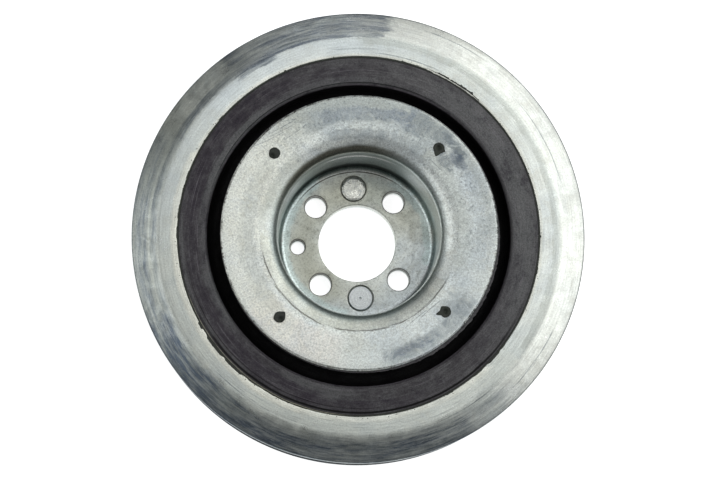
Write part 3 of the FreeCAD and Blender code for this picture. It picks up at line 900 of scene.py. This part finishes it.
def torn_skin(name, colours):
    """The dark green skin that the mould left on the rubber, with the sleeve's edge between slivers."""
    material, shader = new_material(name)
    ring = Ring(material)
    torn = cloud(ring.place, 700, 5, 0.7)
    long = ring.streaks(9, 500)
    colour = blend(ramp(torn, 0.45, 0.72), colours.flash, brightened(colours.flash, 2.6))
    colour = blend(times(ring.band(69, 71.3, 0.3, long, 0.5), 0.8), colour, colours.pit_and_shade)
    bare = times(ring.sector(213, 17, 8), ring.band(71.05, 71.2, 0.1, long, 0.5))
    double = times(ring.sector(244, 16, 10), ring.band(71.3, 71.45, 0.1, long, 0.6), 0.7)
    colour = blend(most(bare, double), colour, colours.sleeve_edge)
    slit = times(ring.sector(56, 11, 6), ring.band(71.7, 72, 0.12, long, 1.6))
    colour = blend(slit, colour, colours.zinc_cream)
    dress(shader, colour, ramp(torn, 0.3, 0.7, 0.45, 0.8), torn, 0.6, 0.1)
    return material


def turned_metal(name, tone, rough=0.42, metallic=1.0):
    """Plain turned metal with fine tool marks."""
    material, shader = new_material(name)
    ring = Ring(material)
    rings = ring.streaks(4, 3200)
    cloudy = cloud(ring.place, 90, 6, 0.6)
    dark = brightened(tone, 0.6)
    toned = blend(ramp(cloudy, 0.35, 0.68), dark, tone)
    ringed = blend(ramp(rings, 0.35, 0.65, 0.0, 0.6), toned, dark)
    gloss = ramp(cloudy, 0.3, 0.7, rough - 0.08, rough + 0.12)
    dress(shader, ringed, gloss, rings, 0.4, 0.05, Metallic=metallic)
    return material


def struck_steel(name, colours, hammered):
    """A rivet's plated head: rough and bright where it was struck, faintly turned and greyer where not."""
    material, shader = new_material(name)
    ring = Ring(material)
    blows = cloud(ring.place, 520, 4, 0.6, 1.2)
    grain = cloud(ring.place, 1900, 4, 0.75)
    if hammered:
        marks, depth, smoothest, bright = blows, 0.26, 0.24, colours.zinc_cream
        share = ramp(blows, 0.34, 0.44, 0.30, 1.0)
    else:
        off = vectors("DISTANCE", ring.flat, middle_of("rivet_bottom") * Vector((1, 1, 0)), output="Value")
        swirl = vectors("ADD", whole(0.0, 0.0, times(off, 2000)), ring.direction)
        marks, depth, smoothest, bright = cloud(swirl, 1, 3, 0.6), 0.04, 0.34, colours.zinc
        share = ramp(marks, 0.40, 0.62, 0.0, 0.5)
    colour = scaled(blend(share, colours.rivet, bright), ramp(grain, 0.3, 0.7, 0.80, 1.20))
    relief = sums("ADD", marks, times(grain, 0.2))
    dress(shader, colour, ramp(blows, 0.3, 0.7, 0.40, smoothest), relief, 0.6, depth, Metallic=0.95)
    return material


# Pieces


def belt_track(sizes, outer_r):
    """Outline points of the ribbed track, front lip first."""
    slope = math.tan(math.radians(20.0))
    root_half = 0.35 * MM
    crest_half = root_half + (sizes.crest_r - sizes.root_r) * slope
    lip_half = root_half + (outer_r - sizes.root_r) * slope
    soft = 0.12 * MM
    points = []
    for index in reversed(range(sizes.rib_count)):
        middle = sizes.track_middle + (index - (sizes.rib_count - 1) / 2) * sizes.rib_pitch
        above, rise = (outer_r, lip_half) if index == sizes.rib_count - 1 else (sizes.crest_r, crest_half)
        below, fall = (outer_r, lip_half) if index == 0 else (sizes.crest_r, crest_half)
        points += [(above, middle + rise, soft), (sizes.root_r, middle + root_half, soft),
                   (sizes.root_r, middle - root_half, soft), (below, middle - fall, soft)]
    return points


class PULLEY_OT_rim(Operator):
    """Makes the zinc-plated belt rim"""

    bl_idname = "pulley.rim"
    bl_label = "Belt rim"

    def execute(self, context):
        sizes = context.scene.pulley_rim
        outer_r = reach_of("pulley_rim")
        top = top_of("pulley_rim")
        foot = foot_of("pulley_rim")
        chamfer = 0.6 * MM
        bend = 2.0 * MM
        collar_r = sizes.eye_r + sizes.collar
        outline = [
            (sizes.eye_r, sizes.collar_end, 0),
            (sizes.eye_r, top, 0.4 * MM),
            (sizes.crease_r, top, sizes.crease_bend_r),
            (outer_r, top - sizes.cone_drop, 0.8 * MM),
            *belt_track(sizes, outer_r),
            (outer_r, foot + chamfer, 0),
            (outer_r - chamfer, foot, 0),
            (sizes.pocket_r + chamfer, foot, 0),
            (sizes.pocket_r, foot + chamfer, 0),
            (sizes.pocket_r, top - sizes.web, bend),
            (collar_r, top - sizes.web, bend),
            (collar_r, sizes.collar_end, 0),
        ]
        finish = zinc("rim_zinc", context.scene.pulley_colours, haze=0.35, streak=0.5, smear=0.16,
                      marks=rim_marks)
        line = spaced(rounded(outline, steps=6), 3.0 * MM)
        piece = turned("belt_rim", line, sizes.segments, finish)
        smooth(piece)
        settle(piece, ZINC_SLOT, "pulley_rim")
        return {"FINISHED"}


# The rivets: radii of the shank, the head, the splayed rear end and the head's seat, and the head's height
RIVET_SHANK_R = 4.0 * MM
RIVET_HEAD_R = 5.0 * MM
RIVET_TAIL_R = 5.4 * MM
RIVET_SEAT_R = 5.42 * MM
RIVET_HEAD = 1.2 * MM


def cutter(name, radius, low, high, rounding, place):
    """A round cutter whose mouth at its upper end is flared, so that the hole gets a soft edge."""
    line = [Vector((0, low)), Vector((radius, low))]
    steps = 4
    for step in range(steps + 1):
        swing = math.radians(90.0 * step / steps)
        line.append(Vector((radius + rounding * (1 - math.cos(swing)),
                            high - rounding + rounding * math.sin(swing))))
    beyond = high + 1.0 * MM
    line += [Vector((radius + rounding, beyond)), Vector((0, beyond))]
    piece = turned(name, line, 48, None)
    piece.data.transform(Matrix.Translation(place))
    return piece


def pierce(piece, cutters):
    """Cuts the holes and keeps the result as a plain mesh."""
    for tool in cutters:
        modifier = piece.modifiers.new("hole", "BOOLEAN")
        modifier.operation = "DIFFERENCE"
        modifier.solver = "MANIFOLD"
        modifier.object = tool
    keep_shown(piece)
    for tool in cutters:
        bpy.data.objects.remove(tool)


def cup_front(cup):
    """Points of the cup's front line from the bore outwards, with their bends."""
    floor = foot_of("hub_cup") + cup.sheet
    slope_top = cup.disc_top - cup.dish
    mouth_top = slope_top - math.tan(cup.slope) * (cup.slope_r - cup.mouth_r)
    return [
        (cup.bore_r, floor, 0),
        (cup.foot_r, floor, cup.floor_bend_r),
        (cup.mouth_r, mouth_top, cup.mouth_bend_r),
        (cup.slope_r, slope_top, cup.slope_bend_r),
        (cup.disc_r, cup.disc_top, 0),
    ]


class PULLEY_OT_cup(Operator):
    """Makes the drawn hub cup with its disc and holes"""

    bl_idname = "pulley.cup"
    bl_label = "Hub cup"

    def execute(self, context):
        sizes = context.scene.pulley_cup
        floor = foot_of("hub_cup") + sizes.sheet
        outline = pressed(cup_front(sizes), sizes.sheet)
        outline[0] = (sizes.bore_r, floor, 0.35 * MM)
        outline[4] = (sizes.disc_r, sizes.disc_top, 0.9 * MM)
        finish = zinc("cup_zinc", context.scene.pulley_colours, warmth=0.5, streak=0.2, smear=0.2,
                      rough=0.36, grit=0.40, marks=cup_marks)
        line = spaced(rounded(outline, steps=10), 2.5 * MM)
        piece = turned("hub_cup_dressed", line, sizes.segments, finish)
        below = foot_of("hub_cup") - 1.0 * MM
        edge = 0.25 * MM
        dowel = Vector((-sizes.locating_r, 0, 0))
        tools = [cutter("dowel_tool", sizes.locating_hole_r, below, floor, edge, dowel)]
        for index, place in enumerate(around(4, sizes.bolt_circle_r, 45)):
            tools.append(cutter(f"bolt_tool_{index}", sizes.bolt_hole_r, below, floor, edge, place))
        for index, place in enumerate(around(2, sizes.bolt_circle_r, 90)):
            shank = (RIVET_SHANK_R, below, floor - 1.0 * MM, 0.01 * MM)
            seat = (RIVET_SEAT_R, floor - RIVET_HEAD, floor, 0.1 * MM)
            tools.append(cutter(f"rivet_tool_{index}", *shank, place))
            tools.append(cutter(f"seat_tool_{index}", *seat, place))
        tools += [plug_tool(index, sizes, place) for index, place in enumerate(plug_places(sizes))]
        pierce(piece, tools)
        smooth(piece)
        settle(piece, ZINC_SLOT, "hub_cup")
        return {"FINISHED"}


# Torn tips of the four plugs in turn: bearing, reach and half width of each tip, in degrees and millimetres
PLUG_TIPS = (
    ((245, 3.4, 38), (329, 2.8, 22)),
    ((215, 2.4, 30),),
    ((39, 2.9, 34), (194, 2.5, 30)),
    ((192, 3.9, 24), (120, 2.6, 26)),
)
# Where each plug is torn hollow: bearing and distance from its middle
PLUG_HOLLOWS = ((60.0, 0.4), (225.0, 1.2), (300.0, 0.9), (20.0, 0.3))


def plug_outline(index, radius, steps=72):
    """Radii of a plug's torn outline, by equal steps round its middle."""
    radii = []
    for step in range(steps):
        bearing = 360 * step / steps
        reach = radius
        for middle, tip, half in PLUG_TIPS[index]:
            near = max(0.0, 1.0 - within(bearing, middle, half))
            reach = max(reach, radius + (tip * MM - radius) * near ** 1.3)
        waver = noise.noise((polar(bearing) + Vector((0, 0, index * 7.3))) * 2.2)
        radii.append(reach + 0.10 * MM * waver)
    return radii


def plug_places(cup):
    """Middles of the four plug holes."""
    return around(4, cup.plug_circle_r, 45 + math.degrees(cup.plug_turn))


def lofted(name, rings, closed=False):
    """A closed mesh through rings of equally many points, capped at both ends or run round into itself."""
    count = len(rings[0])
    faces = []
    for level in range(len(rings) if closed else len(rings) - 1):
        low = level * count
        high = (level + 1) % len(rings) * count
        for index in range(count):
            on = (index + 1) % count
            faces.append((low + index, low + on, high + on, high + index))
    if not closed:
        last = (len(rings) - 1) * count
        faces += [tuple(reversed(range(count))), tuple(range(last, last + count))]
    piece = new_piece(name, [point for ring in rings for point in ring], faces)
    outward(piece)
    return piece


def plug_ring(place, radii, share, height):
    """The outline's points round a place at a share of its radii."""
    points = [place + polar(360 * index / len(radii), radius * share) for index, radius in enumerate(radii)]
    return [(point.x, point.y, height) for point in points]


def disc_height(cup, radius):
    """Height of the dished disc at a radius."""
    return cup.disc_top - cup.dish * (cup.disc_r - radius) / (cup.disc_r - cup.slope_r)


def plug_tool(index, cup, place):
    """The cutter for a plug's torn outline in the disc."""
    radii = plug_outline(index, cup.plug_hole_r)
    top = disc_height(cup, cup.plug_circle_r)
    low = top - cup.sheet - 1.0 * MM
    levels = [(0.99, low), (1.0, low + 0.1 * MM), (1.0, top - 0.2 * MM), (1.04, top - 0.02 * MM),
              (1.08, top + 0.5 * MM)]
    return lofted(f"plug_tool_{index}", [plug_ring(place, radii, share, level) for share, level in levels])


def plug(index, cup, place, sunk):
    """A rubber plug with a torn, hollow end."""
    radii = plug_outline(index, cup.plug_hole_r)
    top = disc_height(cup, cup.plug_circle_r) - sunk
    bearing, off = PLUG_HOLLOWS[index]
    hollow = place + polar(bearing, off * MM)
    rings = [plug_ring(place, radii, 0.995, level) for level in (top - cup.sheet, top - 0.1 * MM)]
    for share in (0.97, 0.85, 0.7, 0.55, 0.4, 0.25, 0.1):
        ring = []
        for x, y, height in plug_ring(place, radii, share, top):
            near = math.exp(-((x - hollow.x) ** 2 + (y - hollow.y) ** 2) / (0.8 * MM) ** 2)
            rough = noise.noise(Vector((x, y, index * 0.01)) / (0.9 * MM))
            ring.append((x, y, height - 1.1 * MM * near + 0.10 * MM * rough - 0.05 * MM))
        rings.append(ring)
    return lofted(f"plug_{index}", rings)


def joined(target, others):
    """Adds the other pieces' meshes to the target's and removes them."""
    work = bmesh.new()
    for piece in [target, *others]:
        work.from_mesh(piece.data)
    work.to_mesh(target.data)
    work.free()
    for piece in others:
        bpy.data.objects.remove(piece)


class PULLEY_OT_isolator(Operator):
    """Makes the isolator rubber with its deep groove and the torn plugs"""

    bl_idname = "pulley.isolator"
    bl_label = "Isolator rubber"

    def execute(self, context):
        sizes = context.scene.pulley_rubber
        rim = context.scene.pulley_rim
        cup = context.scene.pulley_cup
        foot = foot_of("isolator_rubber")
        sleeve_top = top_of("outer_sleeve")
        inner_r = rim.eye_r - sizes.sleeve
        disc_back, slope_back, mouth_back, wall_back = pressed(cup_front(cup), cup.sheet)[5:9]
        rise = (disc_back[1] - slope_back[1]) / (disc_back[0] - slope_back[0])
        under_disc = slope_back[1] + rise * (sizes.groove_inner_r - slope_back[0])
        lean = (mouth_back[0] - wall_back[0]) / (mouth_back[1] - wall_back[1])
        outline = [
            (mouth_back[0] - lean * (mouth_back[1] - foot), foot, 0),
            (inner_r, foot, 1.2 * MM),
            (inner_r, sleeve_top, 0),
            (rim.eye_r, sleeve_top, 0),
            (rim.eye_r, sizes.rim_top, 0.25 * MM),
            (sizes.groove_r, sizes.crest_top, sizes.crest_bend_r),
            (sizes.groove_r, sizes.groove_bottom, sizes.groove_bend_r),
            (sizes.groove_inner_r, sizes.groove_bottom, sizes.groove_bend_r),
            (sizes.groove_inner_r, under_disc, 0.8 * MM),
            slope_back,
            mouth_back,
        ]
        finish = rubber("isolator_black", context.scene.pulley_colours, 0.44)
        line = spaced(rounded(outline, steps=6), 1.2 * MM)
        piece = turned("isolator_body", line, sizes.segments, finish)
        smooth(piece)
        plugs = [plug(index, cup, place, sizes.plug_sunk) for index, place in enumerate(plug_places(cup))]
        for made in plugs:
            smooth(made, 60)
            made.data.polygons.foreach_set("material_index", [1] * len(made.data.polygons))
        joined(piece, plugs)
        piece.data.materials.append(torn_skin("plug_green", context.scene.pulley_colours))
        settle(piece, ISOLATOR_SLOT, "isolator_rubber")
        return {"FINISHED"}


# Flakes of torn skin on the rim: bearing, half width in degrees, reach beyond the skin in millimetres
FLAKES = (
    (46.5, 2.2, 0.6), (50, 2.6, 1), (54, 2.4, 0.8), (58.5, 2.6, 0.9), (63, 2.4, 0.5), (67, 1.2, 0.35),
    (72, 0.8, 0.3), (110.5, 0.5, 0.55), (116, 0.7, 0.3), (136, 1.2, 0.3), (145, 0.6, 0.25),
    (157, 1.5, 0.3), (162, 2, 0.25), (169, 2.6, 0.3), (176, 2.2, 0.25),
    (206.5, 1.4, 0.6), (214.5, 4.6, 0.75), (223, 4.4, 0.6), (231, 2.2, 0.3),
    (243, 8, 0.25), (296, 1.6, 0.3), (307, 2.2, 0.35), (314, 3, 0.45), (318.5, 1.5, 0.35),
    (345, 1.2, 0.3), (356, 0.5, 0.5),
)


# Widths of the rubber lip beyond the disc's edge: bearing, half width in degrees, width in millimetres
LIP_WIDTHS = (
    (315, 60, 1.2), (270, 44, 0.6), (225, 44, 0.4), (122, 24, 0.35), (20, 60, 0.35),
)


def strip(name, steps, profile_at):
    """A closed strip round the axis, from the (radius, height) profile at each bearing."""
    rows = []
    for step in range(steps):
        bearing = 360 * step / steps
        across = polar(bearing)
        rows.append([(across.x * radius, across.y * radius, height)
                     for radius, height in profile_at(bearing, across)])
    return lofted(name, rows, closed=True)


class PULLEY_OT_torn_skin(Operator):
    """Makes the torn skin that laps over the rim's edge and the thin rubber lip round the disc"""

    bl_idname = "pulley.torn_skin"
    bl_label = "Torn skin and lip"

    def execute(self, context):
        colours = context.scene.pulley_colours
        eye = context.scene.pulley_rim.eye_r
        skin = context.scene.pulley_rubber.skin
        cup = context.scene.pulley_cup
        face = top_of("pulley_rim")

        def skin_profile(bearing, across):
            slow = noise.noise(across * 6.0)
            quick = noise.fractal(across * 60.0, 0.7, 2.2, 4)
            reach = (0.10 + 0.14 * slow + 0.09 * quick) * MM
            for middle, half, extra in FLAKES:
                off = within(bearing, middle, half)
                if off < 1.0:
                    ragged = 1.0 + 0.22 * noise.noise(across * 130.0 + Vector((0, 0, middle)))
                    reach += extra * MM * min(1.0, (1.0 - off) * 3.5) * ragged
            reach = max(0.03 * MM, reach)
            lift = (0.09 + 0.04 * quick) * MM
            return (
                (eye - skin, face - 0.12 * MM),
                (eye - skin * 0.9, face + lift * 0.6),
                (eye - skin * 0.5, face + lift * 0.2),
                (eye - 0.05 * MM, face + lift),
                (eye + reach * 0.8, face + lift * 0.9),
                (eye + reach, face + 0.02 * MM),
                (eye + reach * 0.6, face - 0.15 * MM),
                (eye - 0.5 * MM, face - 0.5 * MM),
            )

        def lip_profile(bearing, across):
            quick = noise.fractal(across * 40.0, 0.7, 2.2, 4)
            width = 0.22
            for middle, half, widest in LIP_WIDTHS:
                off = min(1.0, within(bearing, middle, half))
                width = max(width, widest * (1.0 - off * off))
            outer = cup.disc_r + width * (1.0 + 0.30 * quick) * MM
            top = cup.disc_top - (1.3 + 0.15 * quick) * MM
            return (
                (cup.disc_r - 0.5 * MM, top - 1.4 * MM),
                (cup.disc_r - 0.5 * MM, top),
                (outer - 0.10 * MM, top),
                (outer, top - 0.15 * MM),
                (outer, top - 1.2 * MM),
            )

        skin_piece = strip("torn_skin", 1440, skin_profile)
        wear(skin_piece, torn_skin("skin_green", colours))
        lip_piece = strip("disc_lip", 720, lip_profile)
        wear(lip_piece, rubber("lip_black", colours))
        for piece in (skin_piece, lip_piece):
            smooth(piece, 50)
            settle(piece, ISOLATOR_SLOT)
        return {"FINISHED"}


def crumb_tree():
    """A geometry tree that strews small crumbs along a ring."""
    inputs = {"Ring": "Geometry", "Count": "Int", "Radius": "Float", "Spread": "Float", "Height": "Float",
              "Smallest": "Float", "Largest": "Float", "Seed": "Int"}
    tree, given = geometry_tree("Crumbs", inputs, "Crumbs")

    def draw(limits, offset, output, kind="FLOAT"):
        seed = sums("ADD", given["Seed"], offset)
        return out("FunctionNodeRandomValue", {**limits, "Seed": seed}, output, data_type=kind)

    turn = draw({2: 0.0, 3: 2 * math.pi}, 1, 1)
    drift = times(draw({2: -1.0, 3: 1.0}, 2, 1), given["Spread"])
    radius = sums("ADD", given["Radius"], drift)
    place = whole(times(radius, sums("COSINE", turn)), times(radius, sums("SINE", turn)), given["Height"])
    points = out("GeometryNodePoints", {"Count": given["Count"], "Position": place})
    crumb = add(tree, "GeometryNodeMeshIcoSphere", {"Radius": 1.0, "Subdivisions": 2}).outputs["Mesh"]
    here = add(tree, "GeometryNodeInputPosition").outputs[0]
    uneven = out("ShaderNodeTexNoise", {"Vector": here, "Scale": 0.9, "Detail": 2.0}, "Fac")
    swell = scaled(here, fitted(uneven, 1.6, 0.2))
    lumpy = out("GeometryNodeSetPosition", {"Geometry": crumb, "Position": swell})
    spin = draw({1: (6.3, 6.3, 6.3)}, 3, 0, "FLOAT_VECTOR")
    size = draw({2: given["Smallest"], 3: given["Largest"]}, 4, 1)
    strewn = out("GeometryNodeInstanceOnPoints",
                 {"Points": points, "Instance": lumpy, "Rotation": spin, "Scale": size})
    add(tree, "NodeGroupOutput", {"Crumbs": out("GeometryNodeRealizeInstances", {"Geometry": strewn})})
    return tree


class PULLEY_OT_crumbs(Operator):
    """Strews crumbs of torn rubber along the rim's inner edge and the disc's edge"""

    bl_idname = "pulley.crumbs"
    bl_label = "Rubber crumbs"

    def execute(self, context):
        rim = context.scene.pulley_rim
        cup = context.scene.pulley_cup
        finish = torn_skin("crumb_green", context.scene.pulley_colours)
        # Name, count, radius, spread, height, smallest and largest crumb, seed
        rows = (
            ("rim_crumbs", 150, rim.eye_r + 0.5 * MM, 0.6 * MM, top_of("pulley_rim") + 0.04 * MM,
             0.05 * MM, 0.20 * MM, 11),
            ("disc_crumbs", 90, cup.disc_r - 0.12 * MM, 0.12 * MM, cup.disc_top - 0.55 * MM,
             0.06 * MM, 0.22 * MM, 29),
        )
        keys = ("Count", "Radius", "Spread", "Height", "Smallest", "Largest", "Seed")
        tree = crumb_tree()
        for name, *values in rows:
            piece = new_piece(name, [(0, 0, 0)])
            run_tree(tree, piece, dict(zip(keys, values)))
            outward(piece)
            wear(piece, finish)
            smooth(piece, 60)
            settle(piece, ISOLATOR_SLOT)
        return {"FINISHED"}


class PULLEY_OT_rivet_top(Operator):
    """Makes the rivet whose head was closed with a hammer"""

    bl_idname = "pulley.rivet_top"
    bl_label = "Hammered rivet"

    def execute(self, context):
        floor = foot_of("hub_cup") + context.scene.pulley_cup.sheet
        top = top_of("rivet_top")
        seat = floor - RIVET_HEAD
        outline = [
            (0, 0, 0),
            (RIVET_TAIL_R, 0, 0),
            (RIVET_SHANK_R, 1.4 * MM, 0),
            (RIVET_SHANK_R, seat, 0),
            (RIVET_HEAD_R, seat, 0),
            (RIVET_HEAD_R, top - 0.3 * MM, 0.35 * MM),
            (RIVET_HEAD_R * 0.80, top, 0.8 * MM),
            (0, top, 0),
        ]
        finish = struck_steel("hammered_rivet", context.scene.pulley_colours, True)
        line = spaced(rounded(outline, steps=5), 0.22 * MM)
        piece = turned("hammered_rivet", line, 120, finish)
        middle = middle_of("rivet_top") * Vector((1, 1, 0))
        for vertex in piece.data.vertices:
            place = vertex.co.copy()
            if place.z > floor - 0.35 * MM:
                here = Vector((place.x, place.y, 0.0)) / MM
                dents = noise.voronoi(here * 0.55 + Vector((3.1, 8.4, 0)))[0]
                rough = noise.fractal(here * 1.3, 0.8, 2.1, 4)
                dent = 0.14 * max(0.0, 0.9 - dents[0]) + 0.05 * rough + 0.04
                place.z = min(place.z - dent * MM, top)
            vertex.co = place + middle
        piece.data.update()
        smooth(piece, 50)
        settle(piece, RIVET_SLOT, "rivet_top")
        return {"FINISHED"}


class PULLEY_OT_plain_nodes(Operator):
    """Gives the modelled nodes that stay their finishes"""

    bl_idname = "pulley.plain_nodes"
    bl_label = "Rear parts and lower rivet"

    def execute(self, context):
        colours = context.scene.pulley_colours
        finishes = {
            "damper_hub": zinc("hub_zinc", colours, marks=hub_hole_shade),
            "outer_sleeve": zinc("sleeve_zinc", colours, streak=0.8),
            "rivet_bottom": struck_steel("smooth_rivet", colours, False),
            "inertia_ring": turned_metal("turned_iron", colours.iron),
            "bearing_bush": turned_metal("bush_liner", colours.bush, 0.5, 0.0),
            "damper_rubber": rubber("damper_black", colours),
        }
        for name, finish in finishes.items():
            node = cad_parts[name]
            node.data.materials.clear()
            node.data.materials.append(finish)
        return {"FINISHED"}


# The stage


def camera_axes(studio):
    """The pulley's own axes, as the camera sees them: right, up and towards the camera."""
    away = Vector((-math.sin(studio.tilt) * math.cos(studio.lean),
                   math.sin(studio.tilt) * math.sin(studio.lean), math.cos(studio.tilt)))
    right = (Vector((1, 0, 0)) - away * away.x).normalized()
    up = away.cross(right)
    x_axis = right * math.cos(studio.roll) + up * math.sin(studio.roll)
    y_axis = up * math.cos(studio.roll) - right * math.sin(studio.roll)
    return Matrix((x_axis, y_axis, away)).transposed()


# Lamps: bearing round the axis and lean from it in degrees, distance, width and height in metres, radiance
LAMPS = {
    "overhead": (56, 12.5, 1.7, 0.85, 0.75, 1.08),
    "key": (23, 38, 1.8, 2.1, 1.1, 1.58),
    "low_right": (325, 37, 1.8, 0.45, 1.0, 0.80),
    "top_fill": (88, 43, 1.8, 0.70, 0.60, 1.00),
    "left": (176, 34, 1.7, 1.00, 0.80, 1.50),
    "left_strip": (172, 66, 1.6, 0.90, 0.30, 1.30),
}


def soft_lamp(name, bearing, lean, distance, width, height, radiance):
    """A rectangular lamp that faces the pulley, with the radiance of its surface."""
    lamp = bpy.data.lights.new(name, "AREA")
    lamp.shape = "RECTANGLE"
    lamp.size = width
    lamp.size_y = height
    lamp.energy = radiance * math.pi * width * height
    away = math.radians(lean)
    direction = polar(bearing, math.sin(away)) + Vector((0, 0, math.cos(away)))
    made = bpy.data.objects.new(name, lamp)
    made.location = direction * distance
    made.rotation_mode = "QUATERNION"
    made.rotation_quaternion = direction.to_track_quat("Z", "Y")
    bpy.context.scene.collection.objects.link(made)
    return made


def white_floor():
    """A floor that is white to the camera and in reflections, and still takes the pulley's shadow."""
    material, shader = new_material("floor_white")
    tree = material.node_tree
    for key, value in (("Base Color", (0.80, 0.80, 0.80)), ("Roughness", 0.9), ("Specular IOR Level", 0.0)):
        feed(shader.inputs[key], value)
    path = add(tree, "ShaderNodeLightPath").outputs
    seen = most(*[path[f"Is {kind} Ray"] for kind in ("Camera", "Glossy", "Transmission")])
    glow = add(tree, "ShaderNodeEmission", {"Strength": times(seen, 0.84)})
    both = add(tree, "ShaderNodeAddShader", {0: shader.outputs[0], 1: glow.outputs[0]})
    feed(tree.nodes["Material Output"].inputs["Surface"], both.outputs[0])
    return material


class PULLEY_OT_studio(Operator):
    """Makes the floor, the lamps, the world and the camera"""

    bl_idname = "pulley.studio"
    bl_label = "Studio"

    def execute(self, context):
        scene = context.scene
        studio = scene.pulley_studio
        half = 3.0
        floor = new_piece("floor", [(-half, -half, 0), (half, -half, 0), (half, half, 0), (-half, half, 0)],
                          faces=[(0, 1, 2, 3)])
        floor.data.materials.append(white_floor())

        lamps = [soft_lamp(name, *values) for name, values in LAMPS.items()]

        world = bpy.data.worlds.new("studio_world")
        world.use_nodes = True
        tree = world.node_tree
        tree.nodes.clear()
        path = add(tree, "ShaderNodeLightPath").outputs
        around_us = add(tree, "ShaderNodeBackground", {"Color": (1, 1, 1), "Strength": 0.20})
        behind = add(tree, "ShaderNodeBackground", {"Color": (1, 1, 1), "Strength": 1.0})
        mixed = add(tree, "ShaderNodeMixShader", {0: path["Is Camera Ray"], 1: around_us.outputs[0],
                                                  2: behind.outputs[0]})
        add(tree, "ShaderNodeOutputWorld", {"Surface": mixed.outputs[0]})
        scene.world = world
        scene.view_settings.view_transform = "Standard"

        seen = camera_axes(studio)
        centre = Vector((0, 0, scene.pulley_cup.disc_top - 0.9 * MM))
        in_camera = Vector((studio.shift_right, studio.shift_up, -studio.distance))
        turn = seen.transposed()
        data = bpy.data.cameras.new("photo_camera")
        data.sensor_width = 36.0
        data.lens = studio.lens
        data.clip_start = 0.01
        data.clip_end = 20.0
        camera = bpy.data.objects.new("photo_camera", data)
        camera.matrix_world = Matrix.Translation(centre - turn @ in_camera) @ turn.to_4x4()
        scene.collection.objects.link(camera)
        scene.camera = camera
        return {"FINISHED"}


STEPS = (PULLEY_OT_rim, PULLEY_OT_cup, PULLEY_OT_isolator, PULLEY_OT_torn_skin, PULLEY_OT_crumbs,
         PULLEY_OT_rivet_top, PULLEY_OT_plain_nodes, PULLEY_OT_studio)
GROUPS = {
    "pulley_rim": RimSizes,
    "pulley_cup": CupSizes,
    "pulley_rubber": RubberSizes,
    "pulley_colours": PulleyColours,
    "pulley_studio": StudioSettings,
}


class PULLEY_PT_sidebar(Panel):
    """Lists the sizes, the colours and the steps that make the pulley"""

    bl_label = "Crankshaft pulley"
    bl_idname = "PULLEY_PT_sidebar"
    bl_space_type = "VIEW_3D"
    bl_region_type = "UI"
    bl_category = "Pulley"

    def draw(self, context):
        for step in STEPS:
            self.layout.operator(step.bl_idname)
        for key, group in GROUPS.items():
            box = self.layout.box()
            settings = getattr(context.scene, key)
            for name in group.__annotations__:
                box.prop(settings, name)


def register():
    for group in GROUPS.values():
        bpy.utils.register_class(group)
    for key, group in GROUPS.items():
        setattr(bpy.types.Scene, key, PointerProperty(type=group))
    for step in STEPS:
        bpy.utils.register_class(step)
    bpy.utils.register_class(PULLEY_PT_sidebar)


def unregister():
    bpy.utils.unregister_class(PULLEY_PT_sidebar)
    for step in reversed(STEPS):
        bpy.utils.unregister_class(step)
    for key in GROUPS:
        delattr(bpy.types.Scene, key)
    for group in GROUPS.values():
        bpy.utils.unregister_class(group)


def main():
    register()
    for step in STEPS:
        package, name = step.bl_idname.split(".")
        getattr(getattr(bpy.ops, package), name)()


if __name__ == "__main__":
    main()
